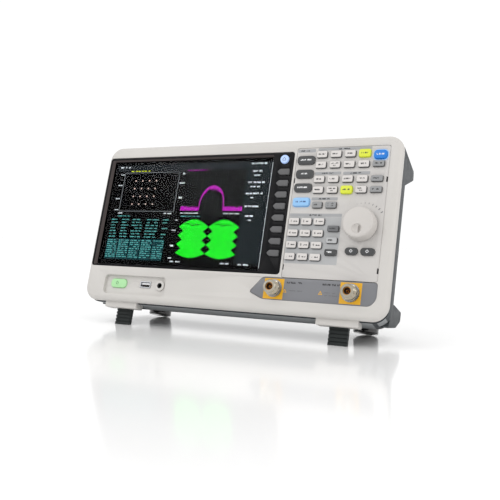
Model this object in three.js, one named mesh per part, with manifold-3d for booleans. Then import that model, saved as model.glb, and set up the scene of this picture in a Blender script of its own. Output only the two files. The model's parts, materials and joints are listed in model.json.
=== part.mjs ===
// A bench spectrum analyzer leaning back on its two flip-out legs.
// Every piece is modelled in the case frame, in millimetres: x from the left edge of the front
// frame, y from the front face to the back, z up from the bottom edge of the front frame.
// The whole case is then turned back by LEAN and stood on the floor.
import * as THREE from "three";
import { mergeVertices } from "three/addons/utils/BufferGeometryUtils.js";
import Module from "manifold-3d";

const wasm = await Module();
wasm.setup();

// ---- Driving dimensions (millimetres, degrees) ----

const LEAN = 14.5; // how far the case leans back on its legs
const GAP = 0.3; // between fixed pieces that meet
const RUNNING = 0.4; // between a moving piece and what it moves in

// Front frame
const LEFT_MARGIN = 3.1;
const WINDOW_WIDTH = 264.9;
const PANEL_GAP = 2.5; // strip of frame between the window and the keypad
const RIGHT_MARGIN = 13.4;
const WINDOW_BOTTOM = 43.5;
const WINDOW_HEIGHT = 144.8;
const WINDOW_RADIUS = 4;
const TOP_MARGIN = 15.3;
const FRAME_RADIUS = 17.5;
const FRAME_DEPTH = 10;
const FRAME_WALL = 2.6;
const FRONT_WALL = 3.2;
const EDGE_ROUND = 4.2; // how far the front edge is rounded in
const EDGE_SECTIONS = [
  [0, 1],
  [1, 0.45],
  [3, 0.12],
  [5.5, 0],
]; // the rounded edge: depth, and the share of EDGE_ROUND still to go
const FRAME_TAPER = 0.8; // how much narrower the frame is at its back, each side

// Keypad grid, measured from the keypad panel's left and top edges
const UTILITY_COLUMN = 12.9;
const FUNCTION_COLUMN = 31.4;
const COLUMN_PITCH = 16.5;
const COLUMNS = 5;
const PANEL_RIGHT = 11.7; // last column to the panel's right edge
const TOP_ROW = 9;
const ROW_PITCH = 12.4;
const GROUP_PITCH = 17;
const NUMBER_COLUMN = 7.6;
const NUMBER_COLUMN_PITCH = 14.9;
const NUMBER_ROW = 87.4;
const NUMBER_ROW_PITCH = 13.4;
const PANEL_TOP_INSET = 11.6; // keypad panel's top edge below the frame's
const PANEL_THICKNESS = 2.2;
const PANEL_RADIUS = 2.5;
const CLIP_SLOT = { width: 1.5, height: 6, fromTop: 39, fromBottom: 12 };

// Keys
const KEY = { width: 12.3, height: 7.6, radius: 1.2 };
const LIT_KEY = { width: 13.2, height: 9, radius: 1.4 };
const KEY_PROUD = 2.5; // key tops above the panel
const KEY_TRAVEL = 1.2;
const KEY_LIP = 0.65; // rim behind the panel that keeps a key in
const KEY_STEM = 4.6;
const KEY_WEB = 1.2; // silicone sheet that joins the keys of one mat
const KEY_CORNER = 0.6; // corner cut for each millimetre of corner radius

// Display
const GLASS_INSET = { left: 7, right: 27, bottom: 3.7, top: 4.9 };
const RIM_LIP = 1.6;
const GLASS_DEPTH = 3.3; // glass behind the front face
const GLASS_THICKNESS = 1.2;
const GLASS_OVERLAP = 1.6; // glass edge hidden behind the rim
const SIGHT_RADIUS = 1.5;
const RIM_STRAIGHT = 0.8; // upright part of the rim in front of the glass
const DISPLAY_FRAME_DEPTH = 6.2;
const LCD_DEPTH = 7.6;
const SOFTKEY = { width: 15, height: 7.2, point: 3.4, fromRight: 11.7, first: 120.2, pitch: 13.73 };
const SOFTKEYS = 8;
const SOFTKEY_ROUND = 1;
const SOFTKEY_PROUD = 1.8;
const HOME_KEY = { radius: 5.15, fromRight: 12, up: 135.6 };

// Knob
const KNOB = { x: 85.2, drop: 90.6, radius: 18.1, front: 14.6, foot: 0.8, shaft: 3, bore: 10 };
const KNOB_RIM = [
  [3.5, 0.1],
  [1.3, 1.2],
  [0.5, 3],
]; // rounding of its front edge: how far in, how far back
const KNOB_SKIRT = 2; // straight part at the knob's foot
const SHAFT_PLAY = 1.5; // round the knob's shaft in the panel
const DIMPLE = { radius: 4.2, drop: 8.4, depth: 2.6 };
const ENCODER_SIDE = 12.4;

// Connector plate: its outline, from the frame's right edge, and its connectors
const PLATE_TOP = 40.2;
const PLATE_OUTLINE = [
  [144.4, PLATE_TOP],
  [159.4, 22.8],
  [142.0, 15.4],
  [19.5, 15.0],
  [13.0, 22.5],
  [13.0, PLATE_TOP],
];
const PLATE_ROUND = 3.5;
const PLATE_SINK = 0.7;
const PLATE_THICKNESS = 2;
const THREAD_PLAY = 0.2; // round a connector's thread in the plate
const RF_CONNECTORS = { out: 129.8, in: 41.2, z: 28.1 };
const N_TYPE = { thread: 7.9, bore: 4.3, contact: 1.6, proud: 12, body: 9.6, tail: 6.4, back: 19 };
const N_TYPE_STEPS = { contact: 3, boreFloor: 2, collar: 3, nutBack: 9, chamfer: [0.8, 1] };

// Pocket with the power button, port and jack, from the frame's left edge
const POCKET = { left: 29.4, right: 121, bottom: 9, top: 32.8, radius: 5, depth: 4, floor: 2.8 };
const POWER_BUTTON = { x: 50, z: 22.8, width: 23, height: 11, radius: 4.4, proud: 1.9 };
const USB_A = { x: 89.7, z: 23.1, width: 15.2, height: 7.8, hole: [12.6, 5.2], hollow: 10, back: 18 };
const USB_TONGUE = { width: 11.2, bottom: 0.3, top: 2.1, setBack: 2.5 };
const USB_CORNER = 0.8;
const JACK = { x: 111.2, z: 22.8, ring: 6.6, neck: 4.6, mouth: 3.25, bore: 1.85, proud: 1.4 };
const JACK_DEPTHS = { taper: 1.2, rim: 0.6, bore: 15, back: 17.5 };
const JACK_CHAMFER = 0.8;

// Legs and feet, each side's centre measured from the middle of the case
const LEG_OFFSET = 141.3;
const BRACKET = { width: 47.6, front: 7, back: 20.4, drop: 7, rise: 3, radius: 1.2 };
const LEG = { width: 21.5, front: 16.4, thickness: 5, barrel: 2.9, pin: 1.6, pinReach: 4, length: 60 };
const LEG_AXIS_DROP = 3.4; // leg's hinge below the bottom edge
const LEG_POCKET_RISE = 1.2;
const LEG_POCKET_PLAY = 1;
const LEG_POCKET_BACK = 47;
const FOOT = { offset: 145, radius: 14.8, y: 101, bottom: -1.3, top: 20 };
const SOLE_TRIM = 0.3; // flat worn on the rear feet's lowest edge

// Rear cover: section planes front to back, and each one's inset from the front frame
const COVER_WALL = 2.5;
const COVER_SHOULDER = 50;
const COVER_REAR = 108;
const REAR_ROUND = 10; // depth of the cover's rounded rear edge
const COVER_SECTIONS = [
  { y: FRAME_DEPTH + GAP, side: 1.2, under: -1, over: 1.4, radius: 16.5 },
  { y: COVER_SHOULDER, side: 8, under: -1.5, over: 2.6, radius: 16 },
  { y: COVER_REAR - REAR_ROUND, side: 28, under: 18, over: 21.6, radius: 14 },
  { y: COVER_REAR, side: 31.5, under: 22, over: 25.6, radius: 12 },
];
const BUMPER = { left: 3.2, right: 30, round: 4 };
const BUMPER_DRAFT = 0.111; // how much further in a bumper's outer face is for each millimetre back
const LOWER_BUMPER = [
  [31, -1.5],
  [84, 6],
  [116, 18],
  [116.5, 29],
  [57, 28],
];
const UPPER_BUMPER = [
  [25, -3.6],
  [50, -41],
  [114, -12],
  [116.5, -8],
  [113, -0.4],
];

// Carry handle, folded back into a recess in the cover's top
const RECESS = { halfWidth: 104, front: 56, frontDepth: 19.5, slope: 22 };
const HANDLE = { y: 63.5, drop: 11.5, reach: 41, arm: 10, bar: 11, thickness: 8, pin: 3, pinReach: 5 };

// Rear connectors and fan, from the case's left edge
const BAY = { left: 210, right: 330, bottom: 42, top: 78, floor: COVER_REAR - 6 };
const LAN = { x: 234, z: 60, width: 16.2, height: 13.6, hole: [12, 8.4], hollow: 12, length: 20 };
const BNC = { first: 272, pitch: 32, z: 60, radius: 4.8, bore: 4, contact: 1.1, proud: 12.5, back: 12 };
const BNC_FLANGE = { radius: 7.5, thickness: 2 };
const BNC_LUG = { radius: 1, proud: 1.1, fromTip: 3.5 };
const BNC_STEP = 3; // contact's tip and the bore's floor, from the connector's ends
const LAN_PROUD = 1.5; // network port beyond the bay's floor
const INLET = {
  x: 78,
  z: 62,
  width: 30,
  height: 23,
  flange: 3.5,
  proud: 2.4,
  hole: [24.6, 17],
  hollow: 17,
  length: 24,
};
const INLET_PINS = { length: 11, width: 2, height: 4, spread: 7, rise: 2 };
const FAN = { x: 150, z: 104, side: 60, depth: 15, bore: 28, hub: 10.5, blades: 7, pitch: 35 };
const FAN_BLADE = { thickness: 1.4, width: 12, tipGap: 2 };
const FAN_STRUTS = { angles: [45, 165, 285], width: 3.2 };
const GRILLE = { slot: 3.2, pitch: 6.2, rows: 9 };

// Boards and boxes inside
const BOARD = 1.6;
const BOARD_MARGIN = 2;
const MAIN_BOARD = { margin: 20, y: 22, bottom: 12 };
const SHIELD_CAN = { left: 215, right: 365, bottom: 26, top: 96, depth: 19 };
const SUPPLY = { left: 30, right: 118, bottom: 62, top: 150, depth: 34 };

// ---- Derived sizes ----

const PANEL_LEFT = LEFT_MARGIN + WINDOW_WIDTH + PANEL_GAP;
const PANEL_WIDTH = FUNCTION_COLUMN + (COLUMNS - 1) * COLUMN_PITCH + PANEL_RIGHT;
const WIDTH = PANEL_LEFT + PANEL_WIDTH + RIGHT_MARGIN;
const HEIGHT = WINDOW_BOTTOM + WINDOW_HEIGHT + TOP_MARGIN;
const PANEL_TOP = HEIGHT - PANEL_TOP_INSET;
const PANEL_BOTTOM = PLATE_TOP + GAP; // the keypad panel reaches down to the connector plate
const LEG_AXIS_Y = LEG.front + LEG.thickness / 2;
const PANEL_BACK = GAP + PANEL_THICKNESS;
const KEY_RIM_FRONT = PANEL_BACK + GAP;
const KEYPAD_BOARD_Y = KEY_RIM_FRONT + KEY_STEM + KEY_TRAVEL + 2 * GAP;
const MIDDLE = WIDTH / 2;
const LEG_PLACES = [MIDDLE - LEG_OFFSET, MIDDLE + LEG_OFFSET];
const LEAN_RADIANS = THREE.MathUtils.degToRad(LEAN);

// ---- Solids from three.js geometry ----

function solidOf(geometry) {
  geometry.deleteAttribute("normal");
  geometry.deleteAttribute("uv");
  const merged = mergeVertices(geometry, 1e-4);
  return new wasm.Manifold(
    new wasm.Mesh({
      numProp: 3,
      vertProperties: merged.attributes.position.array,
      triVerts: new Uint32Array(merged.index.array),
    }),
  );
}

function geometryOf(solid) {
  const mesh = solid.getMesh();
  const geometry = new THREE.BufferGeometry();
  geometry.setAttribute("position", new THREE.BufferAttribute(mesh.vertProperties, 3));
  geometry.setIndex(new THREE.BufferAttribute(mesh.triVerts, 1));
  const flat = geometry.toNonIndexed();
  flat.computeVertexNormals();
  return flat;
}

const union = (solids) => solids.reduce((whole, solid) => whole.add(solid));
const cutAll = (solid, cutters) => cutters.reduce((left, cutter) => left.subtract(cutter), solid);

const span = (middle, size) => [middle - size / 2, middle + size / 2];

function block([left, right], [front, back], [bottom, top]) {
  const box = new THREE.BoxGeometry(right - left, back - front, top - bottom);
  return solidOf(box.translate((left + right) / 2, (front + back) / 2, (bottom + top) / 2));
}

// A rectangle with rounded corners in the front view: x to the right, z up.
function roundedRect(left, right, bottom, top, radius) {
  const shape = new THREE.Shape();
  const quarter = Math.PI / 2;
  shape.moveTo(left + radius, bottom);
  shape.lineTo(right - radius, bottom);
  shape.absarc(right - radius, bottom + radius, radius, -quarter, 0);
  shape.lineTo(right, top - radius);
  shape.absarc(right - radius, top - radius, radius, 0, quarter);
  shape.lineTo(left + radius, top);
  shape.absarc(left + radius, top - radius, radius, quarter, 2 * quarter);
  shape.lineTo(left, bottom + radius);
  shape.absarc(left + radius, bottom + radius, radius, 2 * quarter, 3 * quarter);
  return shape;
}

function centredRect(x, z, width, height, radius) {
  return roundedRect(x - width / 2, x + width / 2, z - height / 2, z + height / 2, radius);
}

// A polygon whose corners are rounded by short curves.
function roundedPolygon(corners, round) {
  const points = corners.map(([x, z]) => new THREE.Vector2(x, z));
  const shape = new THREE.Shape();
  points.forEach((corner, i) => {
    const before = points[(i + points.length - 1) % points.length];
    const after = points[(i + 1) % points.length];
    const towards = (other) => {
      const edge = other.clone().sub(corner);
      return corner.clone().add(edge.setLength(Math.min(round, 0.45 * edge.length())));
    };
    const start = towards(before);
    const end = towards(after);
    if (i === 0) shape.moveTo(start.x, start.y);
    else shape.lineTo(start.x, start.y);
    shape.quadraticCurveTo(corner.x, corner.y, end.x, end.y);
  });
  shape.closePath();
  return shape;
}

// An outline in the front view, given thickness from front to back.
function slab(shape, front, back, arcSteps = 2) {
  const options = { depth: back - front, bevelEnabled: false, curveSegments: arcSteps };
  const geometry = new THREE.ExtrudeGeometry(shape, options);
  return solidOf(geometry.rotateX(Math.PI / 2).translate(0, back, 0));
}

// An outline in the side view (y, z), given width from left to right.
const SIDE_VIEW = new THREE.Matrix4().makeBasis(
  new THREE.Vector3(0, 1, 0),
  new THREE.Vector3(0, 0, 1),
  new THREE.Vector3(1, 0, 0),
);
function sideSlab(corners, left, right, round = 0) {
  const points = corners.map(([y, z]) => new THREE.Vector2(y, z));
  const shape = round ? roundedPolygon(corners, round) : new THREE.Shape(points);
  const options = { depth: right - left, bevelEnabled: false, curveSegments: 2 };
  const geometry = new THREE.ExtrudeGeometry(shape, options);
  return solidOf(geometry.applyMatrix4(SIDE_VIEW).translate(left, 0, 0));
}

// A closed skin over rounded-rectangle sections, front to back.
function loft(sections, arcSteps = 3) {
  const rings = sections.map((s) => {
    const points = roundedRect(s.left, s.right, s.bottom, s.top, s.radius).getPoints(arcSteps);
    return points.filter((p, i) => p.distanceTo(points[(i + 1) % points.length]) > 1e-6);
  });
  const count = rings[0].length;
  const positions = rings.flatMap((ring, i) => ring.flatMap((p) => [p.x, sections[i].y, p.y]));
  const index = [];
  for (let i = 0; i + 1 < rings.length; i++) {
    for (let j = 0; j < count; j++) {
      const a = i * count + j;
      const b = i * count + ((j + 1) % count);
      index.push(a, a + count, b, b, a + count, b + count);
    }
  }
  const last = (rings.length - 1) * count;
  for (const [a, b, c] of THREE.ShapeUtils.triangulateShape(rings[0], [])) index.push(a, b, c);
  for (const [a, b, c] of THREE.ShapeUtils.triangulateShape(rings[rings.length - 1], [])) {
    index.push(last + c, last + b, last + a);
  }
  const geometry = new THREE.BufferGeometry();
  geometry.setAttribute("position", new THREE.Float32BufferAttribute(positions, 3));
  geometry.setIndex(index);
  return solidOf(geometry);
}

// A profile of [radius, y] turned about a front-to-back axis through (x, z).
function turned(profile, x, z, segments = 18) {
  const points = profile.map(([radius, y]) => new THREE.Vector2(radius, y));
  return solidOf(new THREE.LatheGeometry(points, segments).translate(x, 0, z));
}

const rod = (radius, front, back, x, z, segments = 18) =>
  turned([[0, front], [radius, front], [radius, back], [0, back]], x, z, segments);

function rodAcross(radius, left, right, y, z, segments = 12) {
  const cylinder = new THREE.CylinderGeometry(radius, radius, right - left, segments);
  return solidOf(cylinder.rotateZ(Math.PI / 2).translate((left + right) / 2, y, z));
}

function rodUp(radius, bottom, top, x, y, segments = 24) {
  const cylinder = new THREE.CylinderGeometry(radius, radius, top - bottom, segments);
  return solidOf(cylinder.rotateX(Math.PI / 2).translate(x, y, (bottom + top) / 2));
}

// ---- The instrument ----

const instrument = new THREE.Group();

function add(name, solid, colour, roughness = 0.6, metalness = 0) {
  const material = new THREE.MeshStandardMaterial({ color: colour, roughness, metalness });
  const mesh = new THREE.Mesh(geometryOf(solid), material);
  mesh.name = name;
  instrument.add(mesh);
}

const LIGHT_GREY = 0xd0ceca;
const PANEL_GREY = 0xc8c6c3;
const DARK_GREY = 0x484e52;
const BLACK = 0x101113;
const HANDLE_GREY = 0x2b2e31;
const GLASS_BLACK = 0x0a0c10;
const KEY_WHITE = 0xe6e6e4;
const KEY_GREY = 0x8d9093;
const KEY_DARK = 0x4a4c4f;
const NICKEL = 0xcfccc0;
const BOARD_GREEN = 0x1f5c3a;
const AUTO_BLUE = 0x8fb6d6;
const PRESET_BLUE = 0x2f6fd0;
const HOME_WHITE = 0xdfe9f5;
const POWER_GREEN = 0x7fe08a;
const SOFTKEY_GREY = 0x707072;
const SHEET_METAL = 0xb4b6b8;
const BARE_METAL = 0x9a9ea2;
const PLATE_BLUE_GREY = 0x9699a0;
const FAN_BLACK = 0x1c1d1f;
const RUBBER_BLACK = 0x17181a;

const bothSides = (offset, build) =>
  [["left", MIDDLE - offset], ["right", MIDDLE + offset]].forEach(([side, x]) => build(side, x));

// Height of the floor under the case at depth y, in the case frame.
const floorUnder = (y) => FOOT.bottom + SOLE_TRIM + (y - FOOT.y - FOOT.radius) * Math.tan(LEAN_RADIANS);
const FLOOR_REACH = [-60, 260];
const BELOW_FLOOR = sideSlab(
  [
    [FLOOR_REACH[0], -WIDTH],
    [FLOOR_REACH[1], -WIDTH],
    [FLOOR_REACH[1], floorUnder(FLOOR_REACH[1])],
    [FLOOR_REACH[0], floorUnder(FLOOR_REACH[0])],
  ],
  -WIDTH,
  2 * WIDTH,
);

// Key places: x from the panel's left edge, drop below its top edge.
const placeX = (x) => PANEL_LEFT + x;
const placeZ = (drop) => PANEL_TOP - drop;
const columnX = (i) => FUNCTION_COLUMN + i * COLUMN_PITCH;
const ROW_DROPS = [
  TOP_ROW,
  TOP_ROW + ROW_PITCH,
  TOP_ROW + ROW_PITCH + GROUP_PITCH,
  TOP_ROW + 2 * ROW_PITCH + GROUP_PITCH,
];

const singleKey = (name, x, drop, width, height, radius, colour) => ({
  name,
  colour,
  keys: [{ x, drop, width, height, radius }],
});
const LAST_COLUMN = columnX(COLUMNS - 1);
const SINGLE_KEYS = [
  singleKey("utility_key_1", UTILITY_COLUMN, 15.2, 20.8, 9.8, 2.6, KEY_DARK),
  singleKey("utility_key_2", UTILITY_COLUMN, 31.7, 20.8, 9.8, 2.6, KEY_DARK),
  singleKey("utility_key_3", UTILITY_COLUMN, 48, 20.8, 9.8, 2.6, KEY_DARK),
  singleKey("auto_set_key", UTILITY_COLUMN, 64.8, 19.4, 9.6, 2.4, AUTO_BLUE),
  singleKey("preset_key", LAST_COLUMN + 1.2, 11, 14.2, 9.8, 3, PRESET_BLUE),
  singleKey("side_key_1", LAST_COLUMN, ROW_DROPS[1], 12.8, 6.7, 1.2, KEY_GREY),
  singleKey("side_key_2", LAST_COLUMN, ROW_DROPS[2], 12.8, 6.7, 1.2, KEY_GREY),
  singleKey("side_key_3", LAST_COLUMN, ROW_DROPS[3], 12.8, 6.7, 1.2, KEY_GREY),
  singleKey("measure_key_1", 32.5, 68.2, 11.6, 7, 1.2, KEY_GREY),
  singleKey("measure_key_2", 48.5, 68.2, 12.6, 7, 1.2, KEY_GREY),
  singleKey("escape_key", 54.4, 95.1, 12.8, 6.5, 1.2, KEY_GREY),
  singleKey("back_key", 54.4, 108.3, 12.4, 6.5, 1.2, PANEL_GREY),
  singleKey("enter_key", 54.4, 121.6, 13.2, 6.7, 1.2, KEY_DARK),
  singleKey("step_left_key", 77.5, 119.4, 13.8, 7.7, 3.2, KEY_DARK),
  singleKey("step_right_key", 95.3, 119.4, 15.2, 7.8, 3.2, KEY_DARK),
];

// A silicone mat: several keys on one sheet, so they share one node.
function keyMat(name, xs, drops, litColumn, litRow) {
  const keys = [];
  drops.forEach((drop, row) =>
    xs.forEach((x, column) => {
      const lit = column === litColumn && row === litRow;
      keys.push({ x, drop, ...(lit ? LIT_KEY : KEY) });
    }),
  );
  return { name, colour: KEY_WHITE, keys };
}
const functionColumns = [0, 1, 2, 3].map(columnX);
const numberColumns = [0, 1, 2].map((i) => NUMBER_COLUMN + i * NUMBER_COLUMN_PITCH);
const KEY_MATS = [
  keyMat("function_key_mat", functionColumns, ROW_DROPS.slice(0, 2), 3, 0),
  keyMat("marker_key_mat", functionColumns.slice(0, 2), ROW_DROPS.slice(2)),
  keyMat("system_key_mat", functionColumns.slice(2), ROW_DROPS.slice(2), 0, 1),
  ...[0, 1, 2, 3].map((row) =>
    keyMat("number_key_row_" + (row + 1), numberColumns, [NUMBER_ROW + row * NUMBER_ROW_PITCH]),
  ),
];
const KEYPAD = [...SINGLE_KEYS, ...KEY_MATS];

// A key's outline in the front view: a rectangle with its corners cut off.
function keyOutline(key, grow) {
  const x = placeX(key.x);
  const z = placeZ(key.drop);
  const w = key.width / 2 + grow;
  const h = key.height / 2 + grow;
  const cut = key.radius * KEY_CORNER;
  const corner = (right, up) => [
    new THREE.Vector2(x + right * w, z + up * (h - cut)),
    new THREE.Vector2(x + right * (w - cut), z + up * h),
  ];
  const [lowerRight, upperRight] = [corner(1, -1).reverse(), corner(1, 1)];
  const [upperLeft, lowerLeft] = [corner(-1, 1).reverse(), corner(-1, -1)];
  return new THREE.Shape([...lowerRight, ...upperRight, ...upperLeft, ...lowerLeft]);
}

function keySheet(keys) {
  const edge = (pick) => keys.map(pick);
  return block(
    [
      placeX(Math.min(...edge((k) => k.x - k.width / 2))) - KEY_LIP,
      placeX(Math.max(...edge((k) => k.x + k.width / 2))) + KEY_LIP,
    ],
    [KEY_RIM_FRONT, KEY_RIM_FRONT + KEY_WEB],
    [
      placeZ(Math.max(...edge((k) => k.drop + k.height / 2))) - KEY_LIP,
      placeZ(Math.min(...edge((k) => k.drop - k.height / 2))) + KEY_LIP,
    ],
  );
}

function addKeypadKeys() {
  const stemBack = KEY_RIM_FRONT + KEY_STEM;
  for (const { name, colour, keys } of KEYPAD) {
    const caps = keys.map((key) => slab(keyOutline(key, 0), -KEY_PROUD, stemBack));
    add(name, union([...caps, keySheet(keys)]), colour, 0.55);
  }
}

function keypadPanel() {
  const bottom = PANEL_BOTTOM;
  const right = PANEL_LEFT + PANEL_WIDTH;
  const edge = roundedRect(PANEL_LEFT + GAP, right - GAP, bottom + GAP, PANEL_TOP - GAP, PANEL_RADIUS);
  const panel = slab(edge, GAP, PANEL_BACK);
  const holes = KEYPAD.flatMap(({ keys }) =>
    keys.map((key) => slab(keyOutline(key, RUNNING), -1, PANEL_BACK + 1)),
  );
  const knobHole = rod(KNOB.shaft + SHAFT_PLAY, -1, PANEL_BACK + 1, placeX(KNOB.x), placeZ(KNOB.drop));
  const slots = [PANEL_LEFT, right].flatMap((x) =>
    [PANEL_TOP - CLIP_SLOT.fromTop, bottom + CLIP_SLOT.fromBottom].map((z) =>
      block(
        span(x, 2 * CLIP_SLOT.width),
        [-1, PANEL_BACK + 1],
        span(z, CLIP_SLOT.height),
      ),
    ),
  );
  return cutAll(panel, [...holes, knobHole, ...slots]);
}

// ---- Front frame ----

const frameSection = (y, inset) => ({
  y,
  left: inset,
  right: WIDTH - inset,
  bottom: inset,
  top: HEIGHT - inset,
  radius: FRAME_RADIUS - Math.min(inset, FRAME_WALL),
});

function legBracket(x) {
  const [left, right] = span(x, BRACKET.width);
  const outline = roundedRect(left, right, -BRACKET.drop, BRACKET.rise, BRACKET.radius);
  return slab(outline, BRACKET.front, BRACKET.back);
}

const legBarrelRoom = LEG.barrel + RUNNING;
function legSlot(x) {
  return block(
    span(x, LEG.width + 2 * RUNNING),
    [LEG_AXIS_Y - legBarrelRoom, BRACKET.back + 1],
    [-BRACKET.drop - 1, -LEG_AXIS_DROP + legBarrelRoom],
  );
}

function plateShape(grow) {
  const corners = PLATE_OUTLINE.map(([fromRight, z]) => [WIDTH - fromRight, z]);
  const average = (axis) => corners.reduce((sum, corner) => sum + corner[axis], 0) / corners.length;
  const grown = corners.map(([x, z]) => [
    x + Math.sign(x - average(0)) * grow,
    z + Math.sign(z - average(1)) * grow,
  ]);
  return roundedPolygon(grown, PLATE_ROUND);
}

const pocketShape = (grow) =>
  roundedRect(
    POCKET.left - grow,
    POCKET.right + grow,
    POCKET.bottom - grow,
    POCKET.top + grow,
    POCKET.radius + grow,
  );
const POCKET_BACK = POCKET.depth + POCKET.floor;
const powerShape = (grow) =>
  centredRect(
    POWER_BUTTON.x,
    POWER_BUTTON.z,
    POWER_BUTTON.width + 2 * grow,
    POWER_BUTTON.height + 2 * grow,
    POWER_BUTTON.radius + grow,
  );

function frontBezel() {
  const skin = loft([
    ...EDGE_SECTIONS.map(([y, share]) => frameSection(y, EDGE_ROUND * share)),
    frameSection(FRAME_DEPTH, FRAME_TAPER),
  ]);
  const inner = FRAME_WALL + FRAME_TAPER;
  const hollowShape = roundedRect(inner, WIDTH - inner, inner, HEIGHT - inner, FRAME_RADIUS - inner);
  const pocketBlock = slab(pocketShape(FRONT_WALL), 0, POCKET_BACK);
  const hollow = slab(hollowShape, FRONT_WALL, FRAME_DEPTH + 1).subtract(pocketBlock);
  const window = roundedRect(
    LEFT_MARGIN,
    LEFT_MARGIN + WINDOW_WIDTH,
    WINDOW_BOTTOM,
    WINDOW_BOTTOM + WINDOW_HEIGHT,
    WINDOW_RADIUS,
  );
  const panelHole = roundedRect(
    PANEL_LEFT,
    PANEL_LEFT + PANEL_WIDTH,
    PANEL_BOTTOM,
    PANEL_TOP,
    PANEL_RADIUS,
  );
  const through = [-1, FRONT_WALL + 1];
  const usbSize = [USB_A.width + 2 * GAP, USB_A.height + 2 * GAP];
  const usb = centredRect(USB_A.x, USB_A.z, ...usbSize, USB_CORNER);
  const bezel = union([skin.subtract(hollow), ...LEG_PLACES.map(legBracket)]);
  return cutAll(bezel, [
    slab(window, -1, DISPLAY_FRAME_DEPTH + GAP),
    slab(panelHole, ...through),
    slab(plateShape(GAP), ...through),
    slab(pocketShape(0), -1, POCKET.depth),
    slab(powerShape(RUNNING), 0, POCKET_BACK + 1),
    slab(usb, 0, POCKET_BACK + 1, 1),
    rod(JACK.neck + GAP, 0, POCKET_BACK + 1, JACK.x, JACK.z),
    ...LEG_PLACES.map(legSlot),
    ...LEG_PLACES.map((x) => {
      const bore = span(x, LEG.width + 2 * (LEG.pinReach + RUNNING));
      return rodAcross(LEG.pin + RUNNING, ...bore, LEG_AXIS_Y, -LEG_AXIS_DROP);
    }),
  ]);
}

// ---- Display ----

const WINDOW_RIGHT = LEFT_MARGIN + WINDOW_WIDTH;
const WINDOW_TOP = WINDOW_BOTTOM + WINDOW_HEIGHT;
const sightRect = (y, grow) => ({
  y,
  left: LEFT_MARGIN + GLASS_INSET.left - grow,
  right: WINDOW_RIGHT - GLASS_INSET.right + Math.min(grow, 1),
  bottom: WINDOW_BOTTOM + GLASS_INSET.bottom - grow,
  top: WINDOW_TOP - GLASS_INSET.top + grow,
  radius: SIGHT_RADIUS,
});

function softkeyShape(index, grow) {
  const middle = WINDOW_RIGHT - SOFTKEY.fromRight;
  const z = WINDOW_BOTTOM + SOFTKEY.first - index * SOFTKEY.pitch;
  const half = SOFTKEY.height / 2 + grow;
  const left = middle - SOFTKEY.width / 2 - grow;
  const right = middle + SOFTKEY.width / 2 + grow;
  const corners = [
    [left, z],
    [left + SOFTKEY.point, z - half],
    [right, z - half],
    [right, z + half],
    [left + SOFTKEY.point, z + half],
  ];
  return roundedPolygon(corners, SOFTKEY_ROUND);
}

function displayFrame() {
  const edge = roundedRect(
    LEFT_MARGIN + GAP,
    WINDOW_RIGHT - GAP,
    WINDOW_BOTTOM + GAP,
    WINDOW_TOP - GAP,
    WINDOW_RADIUS - GAP,
  );
  const slope = loft(
    [
      sightRect(-GAP, Math.min(GLASS_INSET.bottom, GLASS_INSET.left) - RIM_LIP),
      sightRect(GLASS_DEPTH - RIM_STRAIGHT, 0),
      sightRect(DISPLAY_FRAME_DEPTH + 1, 0),
    ],
    1,
  );
  const seat = sightRect(0, GLASS_OVERLAP + GAP);
  const seatBlock = block(
    [seat.left, seat.right],
    [GLASS_DEPTH - GAP, DISPLAY_FRAME_DEPTH + 1],
    [seat.bottom, seat.top],
  );
  const home = rod(
    HOME_KEY.radius + RUNNING,
    -1,
    DISPLAY_FRAME_DEPTH + 1,
    WINDOW_RIGHT - HOME_KEY.fromRight,
    WINDOW_BOTTOM + HOME_KEY.up,
  );
  const keys = Array.from({ length: SOFTKEYS }, (_, i) =>
    slab(softkeyShape(i, RUNNING), -1, DISPLAY_FRAME_DEPTH + 1, 1),
  );
  return cutAll(slab(edge, GAP, DISPLAY_FRAME_DEPTH), [slope, seatBlock, home, ...keys]);
}

function addDisplay() {
  const sight = sightRect(0, GLASS_OVERLAP);
  const across = [sight.left, sight.right];
  const upright = [sight.bottom, sight.top];
  const glassBack = GLASS_DEPTH + GLASS_THICKNESS;
  add("display_bezel", displayFrame(), BLACK, 0.25);
  add("touch_glass", block(across, [GLASS_DEPTH, glassBack], upright), GLASS_BLACK, 0.08);
  const lcdFront = glassBack + GAP;
  add("lcd_module", block(across, [lcdFront, lcdFront + LCD_DEPTH], upright), BARE_METAL, 0.5, 0.4);
  const keyRim = DISPLAY_FRAME_DEPTH + GAP;
  const keyBack = keyRim + KEY_WEB;
  for (let i = 0; i < SOFTKEYS; i++) {
    const cap = slab(softkeyShape(i, 0), -SOFTKEY_PROUD, keyBack, 1);
    const rim = slab(softkeyShape(i, KEY_LIP + RUNNING), keyRim, keyBack, 1);
    add("softkey_" + (i + 1), cap.add(rim), SOFTKEY_GREY, 0.5);
  }
  const home = [WINDOW_RIGHT - HOME_KEY.fromRight, WINDOW_BOTTOM + HOME_KEY.up];
  const homeCap = rod(HOME_KEY.radius, -SOFTKEY_PROUD, keyBack, ...home, 20);
  const homeRim = rod(HOME_KEY.radius + KEY_LIP + RUNNING, keyRim, keyBack, ...home, 20);
  add("home_key", homeCap.add(homeRim), HOME_WHITE, 0.4);
}

// ---- Front controls and connectors ----

function knob() {
  const { radius, front, foot, shaft, bore } = KNOB;
  const x = placeX(KNOB.x);
  const z = placeZ(KNOB.drop);
  const cap = turned(
    [
      [0, -front],
      ...KNOB_RIM.map(([inset, depth]) => [radius - inset, depth - front]),
      [radius, -foot - KNOB_SKIRT],
      [radius, -foot],
      [shaft + RUNNING, -foot],
      [shaft + RUNNING, -foot - bore],
      [0, -foot - bore],
    ],
    x,
    z,
    30,
  );
  const ball = new THREE.SphereGeometry(DIMPLE.radius, 12, 8).scale(1, DIMPLE.depth / DIMPLE.radius, 1);
  return cap.subtract(solidOf(ball.translate(x, -front, z - DIMPLE.drop)));
}

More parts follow.
